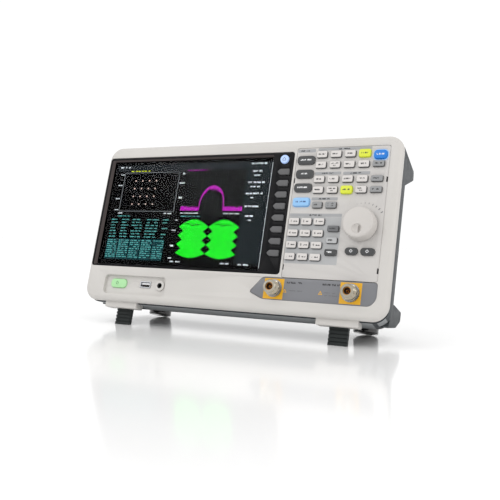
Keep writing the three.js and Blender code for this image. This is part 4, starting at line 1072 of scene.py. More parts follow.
def build_spectrum_picture():
    """A noisy trace that rises to a round-shouldered arch."""
    chance = random.Random(5)
    noise = [chance.uniform(0.0, 1.0) for _ in range(400)]

    def jitter(x):
        return noise[int((x - SPECTRUM["left"]) * NOISE_STEP) % len(noise)]

    def arch(x, inset=0.0):
        """Height of the trace over its floor, round at the shoulders and steep at the sides."""
        rise, fall = SPECTRUM["rise"] + inset, SPECTRUM["fall"] - inset
        along = (x - rise) / (fall - rise)
        if not 0 < along < 1:
            return 0.0
        return (SPECTRUM["top"] - SPECTRUM["floor"]) * math.sin(math.pi * along) ** 0.3

    def hair(x):
        """Share of the full noise: none at the arch's feet, all of it over the crest."""
        return (arch(x, TRACE_LINE) / (SPECTRUM["top"] - SPECTRUM["floor"])) ** 4

    floor, thickness = SPECTRUM["floor"], SPECTRUM["noise"]
    floors = [
        strip_between(
            "trace", low_x, high_x, 100, lambda x: floor - 0.5 * jitter(x + 3),
            lambda x: floor + thickness * (0.5 + 0.5 * jitter(x)), "lit_magenta",
        )
        for low_x, high_x in ((SPECTRUM["left"], SPECTRUM["rise"]), (SPECTRUM["fall"], SPECTRUM["right"]))
    ]
    crest = strip_between(
        "trace", SPECTRUM["rise"], SPECTRUM["fall"], 150,
        lambda x: floor + max(0.0, arch(x, TRACE_LINE) - 1.0 - 5.5 * hair(x) * jitter(x)),
        lambda x: floor + 0.2 + arch(x) + 1.4 * hair(x) * jitter(x + 7), "lit_magenta",
    )
    settle_picture("display_spectrum_trace", [*floors, crest])
    build_spectrum_grid()


def build_spectrum_grid():
    left, right, floor, top = (SPECTRUM[name] for name in ("left", "right", "floor", "grid_top"))
    lines = []
    for i in range(GRID_COLUMNS + 1):
        x = left + i * (right - left) / GRID_COLUMNS
        lines.append(rect(x - GRID_LINE, x + GRID_LINE, floor, top))
    for i in range(GRID_ROWS + 1):
        z = floor + i * (top - floor) / GRID_ROWS
        lines.append(rect(left, right, z - GRID_LINE, z + GRID_LINE))
    grid = [lit_slab("grid", line, "lit_faint", BEHIND) for line in lines]
    settle_picture("display_spectrum_grid", grid)


def eye_outline(left):
    """Four stacked eyes: tips at both sides, notches between them, a dome above and a bowl below."""
    width, tips, notch = EYE["width"], EYE["tips"], EYE["notch"]
    turns = [i / 16 for i in range(17)]
    corners = [(left + width * t, tips[0] + EYE["dome"] * math.sin(math.pi * t)) for t in turns]
    for upper, lower in zip(tips, tips[1:]):
        corners += [(left + width - notch, (upper + lower) / 2), (left + width, lower)]
    corners += [(left + width * (1 - t), tips[-1] - EYE["bowl"] * math.sin(math.pi * t)) for t in turns[1:]]
    for lower, upper in zip(reversed(tips), list(reversed(tips))[1:]):
        corners += [(left + notch, (upper + lower) / 2), (left, upper)]
    return corners[:-1]


def build_eye_picture():
    """Two columns of eyes side by side, with thin dark streaks under their domes."""
    columns = []
    for i in range(2):
        left = EYE["left"] + i * EYE["width"]
        eye = slab("eye", eye_outline(left), PICTURE_FRONT, PICTURE_BACK)
        for k, (x, reach) in enumerate(EYE_STREAKS):
            z = EYE["tips"][0] + 3.6 - 0.9 * k
            x0 = left + EYE["width"] * x
            lens = [(x0 - reach, z), (x0, z - 0.7), (x0 + reach, z - 0.2), (x0, z + 0.6)]
            cut(eye, slab("tool", lens, -1, 12))
        columns.append(coat(eye, "lit_green"))
    settle_picture("display_eye_trace", columns)


CONSTELLATION = (27.5, 112.0, 117.0, 169.0)
DOTS = {"x": 46.5, "z": 126.5, "pitch_x": 10.6, "pitch_z": 10.4, "radius": 0.95, "count": 4}
READOUT_COLUMNS = ((19.0, 30.0), (35.5, 47.0), (52.0, 68.0), (74.0, 92.0), (99.0, 107.0))
READOUT = {"top": 106.0, "pitch": 3.75, "rows": 7}
TABLE = {"left": 18.0, "pitch": 17.7, "width": 16.7, "bottom": 54.0, "top": 80.6, "columns": 5}
TABLE_ROWS = [78.6 - 2.68 * i for i in range(9)]
MENU_LEFT = 206.6
BAR_HEIGHT = 8.0
EDGE_LINE = (239.0, 239.8, 50.5, 178.0)
TICK = {"left": 238.2, "right": 240.6, "half": 0.3}
# Labels: from x, to x, z of the line's middle, height of the letters
LABELS = (
    (18.0, 34.0, 176.4, 1.9), (20.5, 26.0, 166.5, 1.2), (19.5, 26.0, 152.0, 1.2),
    (19.0, 25.0, 134.0, 1.6), (20.5, 26.0, 119.0, 1.0), (27.0, 38.0, 114.6, 1.4),
    (98.0, 109.0, 114.4, 1.4), (117.0, 121.0, 166.5, 2.2), (114.0, 121.5, 154.0, 1.4),
    (116.0, 121.0, 135.0, 2.2), (122.5, 151.0, 115.0, 1.3), (183.0, 206.0, 114.8, 1.3),
    (117.0, 121.0, 106.0, 1.2), (114.0, 119.5, 93.0, 1.2), (114.0, 120.0, 73.5, 2.0),
    (115.0, 120.0, 58.0, 1.2), (118.5, 133.0, 53.8, 1.5), (188.0, 203.0, 54.0, 1.5),
    (212.0, 225.5, 53.6, 1.7), (211.5, 232.0, 177.0, 2.0), (215.0, 228.0, 167.6, 1.9),
    (217.0, 226.0, 162.2, 1.4), (210.5, 232.0, 153.4, 1.9), (214.0, 226.0, 148.0, 1.6),
    (209.0, 231.0, 139.7, 1.9), (216.0, 222.5, 134.4, 1.2), (210.0, 229.5, 123.8, 1.9),
    (212.5, 226.0, 112.0, 1.9), (217.0, 221.5, 106.8, 1.4),
)


def settle_picture(name, pieces):
    settle(joined(name, pieces), INSTRUMENT, smooth=1)


def build_menu_field():
    """The slightly lighter fields of the status bar and the menu."""
    top = SIGHT_TOP - 4.5
    bar = rect(SIGHT_LEFT + 5.0, MENU_LEFT - 0.6, top - BAR_HEIGHT, top)
    menu = rect(MENU_LEFT, SIGHT_RIGHT - 0.8, TABLE["bottom"] + 1, top)
    fields = [lit_slab("bar", bar, "lit_bar", FIELD_BEHIND), lit_slab("menu", menu, "lit_menu", FIELD_BEHIND)]
    settle_picture("display_menu_field", fields)


def build_constellation():
    box = thin_frame("box", *CONSTELLATION, 0.35, "lit_line")
    dots = []
    for i in range(DOTS["count"]):
        for k in range(DOTS["count"]):
            x, z = DOTS["x"] + i * DOTS["pitch_x"], DOTS["z"] + k * DOTS["pitch_z"]
            dots.append(lit_slab("dot", polygon(x, z, DOTS["radius"], 6), "lit_dots"))
    settle_picture("display_constellation", [box, *dots])


def build_captions():
    """The line over each of the four pictures."""
    captions = [
        word_rows("caption", 36.0, 66.0, [170.9], "lit_yellow", 3, fill=1.0),
        word_rows("caption", 124.0, 152.0, [170.4], "lit_magenta", 8, height=0.9, fill=1.0),
        word_rows("caption", 27.0, 50.0, [110.6], "lit_teal", 9, fill=1.0),
        word_rows("caption", 124.0, 156.0, [111.0], "lit_teal", 12, height=0.9, fill=1.0),
    ]
    settle_picture("display_captions", captions)


def build_readout():
    """Columns of readings with a ruled table under them."""
    rows = [READOUT["top"] - READOUT["pitch"] * i for i in range(READOUT["rows"])]
    columns = [
        word_rows("text", low_x, high_x, rows, "lit_teal", 20 + k, fill=0.93)
        for k, (low_x, high_x) in enumerate(READOUT_COLUMNS)
    ]
    settle_picture("display_readout_text", columns)
    fields, cells = [], []
    for k in range(TABLE["columns"]):
        left = TABLE["left"] + k * TABLE["pitch"]
        field = rect(left, left + TABLE["width"], TABLE["bottom"], TABLE["top"])
        fields.append(lit_slab("cell", field, "lit_table", BEHIND))
        right = left + TABLE["width"] - 0.5
        cells.append(word_rows("text", left + 0.9, right, TABLE_ROWS, "lit_teal", 40 + k, fill=0.95))
    settle_picture("display_table_field", fields)
    settle_picture("display_table_text", cells)


def build_labels():
    words = [
        word_rows("label", low_x, high_x, [z], "lit_white", 60 + i, glyph=1.1, height=tall, fill=1.0)
        for i, (low_x, high_x, z, tall) in enumerate(LABELS)
    ]
    settle_picture("display_labels", words)


def build_edge_line():
    """The line between the menu and the softkeys, with a tick at each softkey."""
    edge = [lit_slab("edge", rect(*EDGE_LINE), "lit_white")]
    for node in SOFTKEYS:
        z = middle(node).z
        tick = rect(TICK["left"], TICK["right"], z - TICK["half"], z + TICK["half"])
        edge.append(lit_slab("tick", tick, "lit_white"))
    settle_picture("display_edge_line", edge)


def build_text_picture():
    build_menu_field()
    build_constellation()
    build_captions()
    build_readout()
    build_labels()
    build_edge_line()


def build_lcd():
    corners = rect(LCD_LOW.x, LCD_HIGH.x, LCD_LOW.z, LCD_HIGH.z)
    panel = slab("lcd_module_panel", corners, LCD_LOW.y, LCD_HIGH.y, 1.0, edge=0.04, edge_steps=1)
    soften(panel, 0.3)
    coat(panel, "supply_steel")
    coat_where(panel, "lcd_black", lambda c, n: n.y < -0.5)
    settle(panel, INSTRUMENT, stands_for=["lcd_module"])


# ---- Keypad ----

SINGLE_KEYS = {
    "utility_key_1": ("key_dark", "key_dark", 3.6),
    "utility_key_2": ("key_dark", "key_dark", 3.6),
    "utility_key_3": ("key_dark", "key_dark", 3.6),
    "auto_set_key": ("key_sky", "key_light_blue", 2.6),
    "preset_key": ("key_blue", "key_blue", 3.4),
    "side_key_1": ("key_grey", "key_grey", 1.4),
    "side_key_2": ("key_grey", "key_grey", 1.4),
    "side_key_3": ("key_grey", "key_grey", 1.4),
    "measure_key_1": ("key_grey", "key_grey", 1.4),
    "measure_key_2": ("key_grey", "key_grey", 1.4),
    "escape_key": ("key_mid", "key_grey", 1.4),
    "back_key": ("key_pale", "key_light", 1.4),
    "enter_key": ("key_dark", "key_dark", 1.4),
    "step_left_key": ("key_dark", "key_dark", 3.6),
    "step_right_key": ("key_dark", "key_dark", 3.6),
}
PALE_LEGENDS = {"utility_key_1", "utility_key_2", "utility_key_3", "enter_key", "preset_key"}
MATS = {
    "function_key_mat": (4, 2, (3, 0)),
    "marker_key_mat": (2, 2, None),
    "system_key_mat": (2, 2, (0, 1)),
    "number_key_row_1": (3, 1, None),
    "number_key_row_2": (3, 1, None),
    "number_key_row_3": (3, 1, None),
    "number_key_row_4": (3, 1, None),
}
DIGITS = {1: "123", 2: "456", 3: "789", 4: ".0-"}


def mat_keys(node):
    """Each key of a mat as (x, z, width, height, radius, lit), column by column from its outer edges."""
    columns, rows, lit = MATS[node]
    low, high = case_box(node)
    size = {(c, r): LIT_KEY if (c, r) == lit else KEY for c in range(columns) for r in range(rows)}
    widest = [max(size[c, r]["width"] for r in range(rows)) / 2 for c in (0, columns - 1)]
    tallest = [max(size[c, r]["height"] for c in range(columns)) / 2 for r in (0, rows - 1)]
    first_x, last_x = low.x + KEY_LIP + widest[0], high.x - KEY_LIP - widest[1]
    first_z, last_z = high.z - KEY_LIP - tallest[0], low.z + KEY_LIP + tallest[1]
    keys = []
    for (c, r), kind in size.items():
        x = first_x + (last_x - first_x) * c / max(1, columns - 1)
        z = first_z + (last_z - first_z) * r / max(1, rows - 1) if rows > 1 else (low.z + high.z) / 2
        keys.append((x, z, kind["width"], kind["height"], kind["radius"], (c, r) == lit))
    return keys


def all_keys():
    """Every key of the keypad with its node's name."""
    keys = []
    for node, (_, _, radius) in SINGLE_KEYS.items():
        low, high = case_box(node)
        centre = (low + high) / 2
        size = (high.x - low.x - 2 * KEY_LIP, high.z - low.z - 2 * KEY_LIP)
        keys.append((node, (centre.x, centre.z, *size, radius, False)))
    for node in MATS:
        keys += [(node, key) for key in mat_keys(node)]
    return keys


def key_tools(front, back):
    tools = []
    for _, (x, z, width, height, radius, _) in all_keys():
        grow = 2 * RUNNING
        hole = centred(x, z, width + grow, height + grow)
        tools.append(slab("tool", hole, front, back, radius + RUNNING, 4))
    return joined("tool", tools)


def build_keypad_panel():
    left, right, bottom, top = PANEL_LOW.x, PANEL_HIGH.x, PANEL_LOW.z, PANEL_HIGH.z
    corners = rect(left, right, bottom, top)
    panel = slab("keypad_panel_face", corners, PANEL_LOW.y, PANEL_HIGH.y, 2.4, edge=0.25)
    cut(panel, key_tools(-1, 5))
    knob = middle("rotary_knob")
    cut(panel, rod("tool", 4.5, -1, 5, knob.x, knob.z))
    for x in (left, right):
        for z in (top - 38.7, bottom + 11.7):
            cut(panel, box_tool(x - 1.8, x + 1.2 if x == left else x + 1.8, -1, 5, z - 3, z + 3))
    soften(panel, 0.15)
    coat(panel, "panel_light")
    # Black sheets set into the slots at the panel's edges: painted shadow inside the slots.
    slot_shadow_sheets = [
        coat(slab("clip", rect(x, x + 1.2, z - 3, z + 3), 1.0, PANEL_HIGH.y), "slot_shadow")
        for x in (left, right - 1.5)
        for z in (top - 38.7, bottom + 11.7)
    ]
    settle(joined("keypad_panel_clips", slot_shadow_sheets), INSTRUMENT)
    settle(panel, INSTRUMENT, stands_for=["keypad_panel"])


def printed(name, corners, front, finish, radius=0.0):
    return coat(slab(name, corners, front - PRINT, front + PRINT, radius, 3), finish)


def build_keypad_prints():
    """Grey fields behind the key groups, their legends and the scale round the knob."""
    face = PANEL_LOW.y
    field = printed("keypad_number_field", rect(271.4, 332.8, 57.0, 110.3), face, "print_field")
    cut(field, key_tools(-1, 1))
    settle(field, INSTRUMENT)
    bands = [(271.6, 293.0, 186.6, 190.6), (296.0, 358.6, 188.2, 191.2), (295.2, 326.2, 159.4, 162.8),
             (328.6, 359.2, 159.0, 162.4), (295.2, 325.6, 129.6, 133.0), (271.4, 332.8, 110.6, 114.2)]
    pieces = [printed("band", rect(*band), face, "print_grey", 0.8) for band in bands]
    grey = joined("keypad_group_bands", pieces)
    cut(grey, key_tools(-1, 1))
    # Rings printed round the preset and auto-set keys and given a glow: painted light round these keys.
    for node, reach in (("preset_key", 1.5), ("auto_set_key", 0.9)):
        _, (x, z, width, height, radius, _) = next(k for k in all_keys() if k[0] == node)
        around = centred(x, z, width + 2 * reach, height + 2 * reach)
        halo = printed("halo", around, face, "key_halo", radius + reach)
        cut(halo, key_tools(-1, 1))
        grey = joined("keypad_group_bands", [grey, halo])
    legends = []
    for i, (low_x, high_x, low_z, high_z) in enumerate(bands):
        x, z = (low_x + high_x) / 2, (low_z + high_z) / 2
        fronts = (face - 2.2 * PRINT, face)
        legends.append(word_rows("legend", x - 7, x + 7, [z], "print_dark", 90 + i, 1.2, 1.5, 1.0, fronts))
    settle(joined("keypad_group_bands", [grey, *legends]), INSTRUMENT)
    knob = middle("rotary_knob")
    ticks = []
    for i in range(8):
        angle = math.radians(107 - 10.2 * i)
        out = Vector((math.cos(angle), math.sin(angle)))
        across = Vector((-out.y, out.x)) * (0.14 + 0.05 * i)
        near, far = out * (24.6 - 0.06 * i), out * (25.3 + 0.22 * i)
        ends = [near - across, far - across, far + across, near + across]
        ticks.append(printed("tick", [(knob.x + p.x, knob.z + p.y) for p in ends], face, "key_mid"))
    settle(joined("knob_scale_marks", ticks), INSTRUMENT)


def key_cap(node, key, front, back, finish):
    x, z, width, height, radius, _ = key
    soft = sizes().key_soft / MM
    cap = slab(node + "_cap", centred(x, z, width, height), front, back, radius, 5, edge=soft)
    coat(cap, finish)
    if "lit" in finish or finish in ("key_sky", "key_blue"):
        return cap
    # The side faces of an unlit key get a darker grey: painted shade.
    return coat_where(cap, "key_side", lambda c, n: n.y > -0.45)


def legend_mark(x, z, width, height, front, finish, seed):
    return word_rows(
        "legend", x - width / 2, x + width / 2, [z], finish, seed, 0.95, height, 1.0,
        (front - PRINT, front + PRINT),
    )


def digit_mark(text, x, z, size, front, finish):
    select()
    bpy.ops.object.text_add(location=(0, 0, 0))
    digit = bpy.context.object
    digit.data.body = text
    digit.data.size = size
    digit.data.align_x = "CENTER"
    digit.data.align_y = "CENTER"
    digit.data.extrude = PRINT
    digit.data.resolution_u = 3
    digit.data.offset = 0.06
    bpy.ops.object.convert(target="MESH")
    digit.matrix_world = Matrix.Translation((x, front, z)) @ Matrix.Rotation(math.pi / 2, 4, "X")
    bpy.ops.object.transform_apply(location=True, rotation=True, scale=True)
    return coat(digit, finish)


def build_keys():
    for number, (node, (finish, slot, radius)) in enumerate(SINGLE_KEYS.items()):
        low, high = case_box(node)
        key = next(k for n, k in all_keys() if n == node)
        rim_back = high.y
        cap = key_cap(node, key, low.y, rim_back, finish)
        parts = [cap, key_rim([key], low, high, finish)]
        parts += single_marks(node, key, low.y, number)
        piece = joined(node + "_cap", parts)
        settle(piece, node, stands_for=[node])
    for number, node in enumerate(MATS):
        low, high = case_box(node)
        keys = mat_keys(node)
        parts = [key_rim(keys, low, high, "key_white")]
        for i, key in enumerate(keys):
            lit = key[5]
            parts.append(key_cap(node, key, low.y, high.y, "key_lit" if lit else "key_white"))
            parts += mat_marks(node, key, i, low.y, 200 + 10 * number + i)
        settle(joined(node + "_caps", parts), node, stands_for=[node])


def key_rim(keys, low, high, finish):
    """The sheet behind the panel that joins and keeps the keys."""
    front = PANEL_HIGH.y + GAP
    sheet = slab("rim", rect(low.x, high.x, low.z, high.z), front, front + 1.2, 0.8, 3)
    for x, z, width, height, radius, _ in keys:
        cut(sheet, slab("tool", centred(x, z, width - 0.4, height - 0.4), front - 1, front + 3, radius, 4))
    return coat(sheet, finish)


def single_marks(node, key, front, number):
    x, z, width, height, _, _ = key
    if node.startswith("step"):
        size = 2.0
        corners = [(x - size, z), (x, z - size), (x + size, z), (x, z + size)]
        diamond = slab("mark", corners, front - PRINT, front + PRINT)
        hole = [(x - size * 0.62, z), (x, z - size * 0.62), (x + size * 0.62, z), (x, z + size * 0.62)]
        return [coat(cut(diamond, slab("tool", hole, front - 1, front + 1)), "print_white")]
    finish = "print_white" if node in PALE_LEGENDS else "print_dark"
    if node == "auto_set_key":
        finish = "print_blue"
    reach = width * (0.62 if node.startswith("utility") or node == "auto_set_key" else 0.6)
    if node == "utility_key_2":
        reach = width * 0.36
    if node == "measure_key_2":
        return [legend_mark(x, z + rise, 7.0, 1.4, front, finish, 140 + number) for rise in (1.2, -1.2)]
    return [legend_mark(x, z, reach, 1.7, front, finish, 120 + number)]


def mat_marks(node, key, index, front, seed):
    x, z, width, height, _, lit = key
    if node.startswith("number"):
        digit = DIGITS[int(node[-1])][index]
        return [
            digit_mark(digit, x - 2.9, z, 3.6, front, "print_dark"),
            legend_mark(x + 2.2, z - 0.2, 4.6, 1.3, front, "print_dark", seed),
        ]
    if seed % 5 == 3:
        return [
            legend_mark(x, z + 1.1, 8.0, 1.5, front, "print_dark", seed),
            legend_mark(x, z - 1.4, 3.4, 1.2, front, "print_dark", seed + 500),
        ]
    return [legend_mark(x, z, 6.0 if seed % 3 == 0 else 8.0, 1.6, front, "print_dark", seed)]


# ---- Knob and connectors ----


def build_knob():
    low, high = case_box("rotary_knob")
    centre = middle("rotary_knob")
    radius = (high.x - low.x) / 2
    front, foot = low.y, high.y
    profile = [
        (0, front),
        (radius - 4.2, front + 0.05),
        *arc(2.2, radius - 3.2, front + 2.35, -85, -30, 5),
        (radius - 0.95, front + 2.6),
        (radius - 0.75, front + 3.2),
        (radius - 0.1, foot - 2.2),
        (radius, foot - 1.6),
        (radius, foot - 0.3),
        (radius - 0.3, foot),
        (3.4, foot),
        (3.4, foot - 10.0),
        (0, foot - 10.0),
    ]
    knob = turned("rotary_knob_cap", profile, (centre.x, 0, centre.z), steps=72)
    dimple_z = centre.z - 7.2
    select()
    spot = (centre.x, front - 0.6, dimple_z)
    bpy.ops.mesh.primitive_uv_sphere_add(segments=40, ring_count=24, radius=1, location=spot)
    ball = bpy.context.object
    ball.scale = (5.6, 3.2, 5.6)
    bpy.ops.object.transform_apply(location=True, rotation=True, scale=True)
    cut(knob, ball)
    bpy.ops.mesh.primitive_uv_sphere_add(
        segments=32, ring_count=20, radius=1, location=(centre.x + 2.2, front + 0.2, dimple_z - 0.3)
    )
    groove = bpy.context.object
    groove.scale = (1.9, 4.6, 4.7)
    bpy.ops.object.transform_apply(location=True, rotation=True, scale=True)
    cut(knob, groove)
    soften(knob, 0.35, 3, 24)
    coat(knob, "knob_light")
    settle(knob, "rotary_knob", stands_for=["rotary_knob"], smooth=40)


CONNECTORS = ("rf_output_connector", "rf_input_connector")


def build_connector_plate():
    face, back = PLATE_LOW.y, PLATE_HIGH.y
    plate = slab("connector_plate_face", plate_corners(), face, back, PLATE_ROUND, 6, edge=0.25)
    places = [middle(node) for node in CONNECTORS]
    for place in places:
        cut(plate, rod("tool", 8.1, -1, 5, place.x, place.z))
    coat(plate, "plate_metal")
    settle(plate, INSTRUMENT, stands_for=["connector_plate"])
    face = PLATE_LOW.y
    fields, marks = [], []
    for i, place in enumerate(places):
        field = printed("field", centred(place.x, place.z - 0.5, 23.6, 23.0), face, "print_yellow", 0.4)
        cut(field, rod("tool", 9.0, -1, 2, place.x, place.z))
        fields.append(field)
        label_x = place.x + 25.0 if i == 0 else place.x - 22.0
        fronts = (face - PRINT, face + PRINT)
        left, right = label_x - 10, label_x + 10
        marks.append(word_rows("label", left, right, [35.4], "print_dark", 300 + i, 1.5, 1.9, 1.0, fronts))
        left, right, rows = label_x - 7, label_x + 9, [26.6, 23.6]
        marks.append(word_rows("label", left, right, rows, "key_mid", 310 + i, 1.2, 1.0, 0.9, fronts))
        marks.append(warning_mark(label_x - 11.5, 26.0, face))
    settle(joined("connector_plate_fields", fields), INSTRUMENT)
    settle(joined("connector_plate_marks", marks), INSTRUMENT)


def warning_mark(x, z, face):
    """A small open triangle."""
    size = 2.3
    corners = [(x - size, z - size * 0.8), (x + size, z - size * 0.8), (x, z + size)]
    mark = slab("mark", corners, face - PRINT, face + PRINT)
    hole = [(x + (cx - x) * 0.55, z - 0.3 + (cz - z) * 0.55) for cx, cz in corners]
    return coat(cut(mark, slab("tool", hole, face - 1, face + 1)), "print_yellow")


def in_painted_thread_shade(centre, radius, start):
    """A test for the faces at the bottom of a connector's thread and inside its bore, which get painted shade."""

    def test(face_centre, normal):
        out = math.hypot(face_centre.x - centre.x, face_centre.z - centre.z)
        on_thread = 6.0 < out < radius and start < face_centre.y < -3.0
        return (on_thread and normal.y > -0.3) or out < 4.6

    return test


def build_rf_connectors():
    pitch = sizes().thread_pitch / MM
    for node in CONNECTORS:
        low, high = case_box(node)
        centre = middle(node)
        spot = (centre.x, 0, centre.z)
        tip, thread = low.y, 7.9
        turns = int((-3.2 - tip - 1.6) / pitch)
        ridges = []
        for i in range(turns):
            start = tip + 1.4 + i * pitch
            ridges += [(thread - 0.55, start), (thread, start + pitch * 0.35), (thread, start + pitch * 0.5)]
        shell = turned(
            node + "_shell",
            [
                (4.5, tip), (thread - 0.9, tip), (thread - 0.55, tip + 0.4), *ridges,
                (thread - 0.55, -3.4), (thread - 0.3, -3.2),
                (thread - 0.3, high.y * 0.45), (6.4, high.y * 0.45), (6.4, high.y),
                (2.2, high.y), (2.2, -1.2), (4.5, -1.2),
            ],
            spot, steps=48, closed=True,
        )
        coat(shell, "nickel")
        # The thread valleys and the inside of the bore are coloured dark: painted shade in the grooves.
        coat_where(shell, "thread_dark", in_painted_thread_shade(centre, thread - 0.1, tip + 1.2))
        nut = slab("nut", polygon(centre.x, centre.z, 9.4, 6), -2.6, 0.3, 0.6, 3, edge=0.4)
        cut(nut, rod("tool", thread - 0.25, -5, 5, centre.x, centre.z, 48))
        coat(nut, "nickel")
        profile = [(7.7, 0.05), (9.9, 0.05), (9.9, 0.35), (7.7, 0.35)]
        washer = turned("washer", profile, spot, steps=48, closed=True)
        coat(washer, "screw_steel")
        step, bottom = tip + 4.8, tip + 6.0
        profile = [(0, bottom), (3.6, bottom), (3.6, step), (4.4, step), (4.4, -1.3), (0, -1.3)]
        core = turned("core", profile, spot, steps=40)
        # The insulator is coloured dark: painted shade inside the bore.
        coat(core, "insulator")
        pin = turned(
            "pin",
            [(0.75, tip + 3.0), (1.1, tip + 2.7), (1.55, tip + 3.0), (1.6, tip + 6.2), (0.75, tip + 6.2)],
            spot,
            steps=24, closed=True,
        )
        coat(pin, "gold")
        profile = [(3.75, tip + 1.0), (4.45, tip + 1.0), (4.45, tip + 4.7), (3.75, tip + 4.7)]
        ring = turned("ring", profile, spot, steps=40, closed=True)
        coat(ring, "gold")
        body = joined(node + "_body", [shell, nut, washer, core, pin, ring])
        settle(body, INSTRUMENT, stands_for=[node])


def build_pocket_controls():
    low, high = case_box("power_button")
    centre = middle("power_button")
    width, height = high.x - low.x - 2.1, high.z - low.z - 2.1
    face = centred(centre.x, centre.z, width, height)
    cap = slab("power_button_cap", face, low.y, high.y - 1.1, 4.4, 8, edge=0.9)
    rim = slab("rim", rect(low.x, high.x, low.z, high.z), high.y - 1.2, high.y, 5.0, 8)
    weld(cap, rim)
    coat(cap, "power_lit")
    x, z = centre.x - 2.0, centre.z + 0.2
    front = low.y
    spot = (x, 0, z)
    profile = [(1.45, front - PRINT), (1.95, front - PRINT), (1.95, front + PRINT), (1.45, front + PRINT)]
    ring = turned("ring", profile, spot, steps=30, closed=True)
    cut(ring, box_tool(x - 0.75, x + 0.75, front - 1, front + 1, z, z + 3))
    coat(ring, "power_mark")
    bar = printed("bar", centred(x, z + 1.3, 0.55, 2.3), front, "power_mark", 0.2)
    cap = joined("power_button_cap", [cap, ring, bar])
    settle(cap, "power_button", stands_for=["power_button"])
    build_usb_port()
    build_jack()


def build_usb_port():
    low, high = case_box("front_usb_port")
    centre = middle("front_usb_port")
    shell = slab("front_usb_port_shell", rect(low.x, high.x, low.z, high.z), low.y, high.y, 0.8, 3)
    cut(shell, slab("tool", centred(centre.x, centre.z, 13.2, 5.8), low.y - 1, low.y + 11, 0.4, 2))
    soften(shell, 0.25)
    coat(shell, "socket_steel")
    tongue = slab("tongue", centred(centre.x, centre.z + 1.2, 11.4, 2.0), low.y + 1.6, low.y + 11.5, 0.2, 2)
    coat(tongue, "print_white")
    contacts = [
        coat(
            slab("contact", centred(centre.x + dx, centre.z + 0.14, 1.0, 0.16), low.y + 2.2, low.y + 10),
            "gold",
        )
        for dx in (-3.6, -1.2, 1.2, 3.6)
    ]
    back = slab("back", centred(centre.x, centre.z, 12.9, 5.5), low.y + 10.6, low.y + 11.2)
    coat(back, "socket_black")
    port = joined("front_usb_port_shell", [shell, tongue, *contacts, back])
    settle(port, INSTRUMENT, stands_for=["front_usb_port"])


def build_jack():
    low, high = case_box("headphone_jack")
    centre = middle("headphone_jack")
    radius = (high.x - low.x) / 2
    face = POCKET["depth"] - GAP
    collar = turned(
        "headphone_jack_collar",
        [
            (0, high.y - 2.5), (1.85, high.y - 2.5), (1.85, low.y + 1.6),
            *arc(1.5, 3.35, low.y + 1.6, 180, 270, 4),
            (radius - 0.9, low.y + 0.1), *arc(0.7, radius - 0.7, low.y + 0.8, -90, 0, 4),
            (radius, face), (4.6, face), (4.6, high.y), (0, high.y),
        ],
        (centre.x, 0, centre.z), steps=40,
    )
    coat(collar, "frame_light")
    coat_where(collar, "socket_black", lambda c, n: math.hypot(c.x - centre.x, c.z - centre.z) < 3.3)
    settle(collar, INSTRUMENT, stands_for=["headphone_jack"])


# ---- Legs and feet ----


def build_legs():
    rib_pitch, rib_depth = sizes().rib_pitch / MM, sizes().rib_depth / MM
    for side in LEG_SIDES:
        node = "front_leg_" + side
        low, high = case_box(node)
        axis = leg_hinge(side)
        left, right = low.x + LEG["reach"], high.x - LEG["reach"]
        front, back = axis.y - 2.5, axis.y + 2.5
        sole = sole_line(node, front, back)
        corners = [(front, sole[0]), (back, sole[1]), (back, axis.z), (front, axis.z)]
        leg = side_slab(node + "_blade", corners, left, right)
        barrel = rod_across("barrel", LEG["barrel"], left, right, axis.y, axis.z, 32)
        pin = rod_across("pin", LEG["pin"], low.x, high.x, axis.y, axis.z, 24)
        weld(leg, barrel, pin)
        z = sole[0] + 3.4
        while z < -BRACKET_DROP - 3.0:
            cut(leg, box_tool(left - 1, right + 1, front - 1, front + rib_depth, z, z + 1.3))
            z += rib_pitch
        soften(leg, 0.4, 2)
        coat(leg, "leg_dark")
        settle(leg, node, stands_for=[node])


def sole_line(node, front, back):
    """Height of the worn sole at the leg's front and back face."""
    low, _ = case_box(node)
    rise = (back - front) * math.tan(LEAN)
    return low.z, low.z + rise


def build_feet():
    for side in LEG_SIDES:
        node = "rear_foot_" + side
        low, high = case_box(node)
        centre = middle(node)
        radius = (high.x - low.x) / 2
        spot = (centre.x, centre.y, 0)
        profile = [
            (0, low.z),
            (radius - 2.2, low.z),
            *arc(1.6, radius - 1.7, low.z + 1.6, -90, 0, 5),
            (radius, high.z - 4),
            (radius, high.z),
            (0, high.z),
        ]
        foot = turned(node + "_rubber", profile, spot, axis="Z", steps=56)
        cut(foot, cover_under_tool(), floor_tool())
        coat(foot, "foot_rubber")
        settle(foot, INSTRUMENT, stands_for=[node])


def floor_tool():
    """Everything under the floor, in the case's axes."""
    below = 60.0
    tool = slab("tool", rect(-WIDTH, 2 * WIDTH, -3 * below, 0), -200, 400)
    tool.data.transform(ROW_TO_CASE @ Matrix.Translation((0, 0, 0)) @ level_to_row())
    return tool


def level_to_row():
    """Millimetres on the level floor, x from the case's left edge, to metres in the frame."""
    return Matrix.Translation((CASE_ZERO.x, 0, 0)) @ Matrix.Scale(MM, 4)


# ---- Rear cover ----

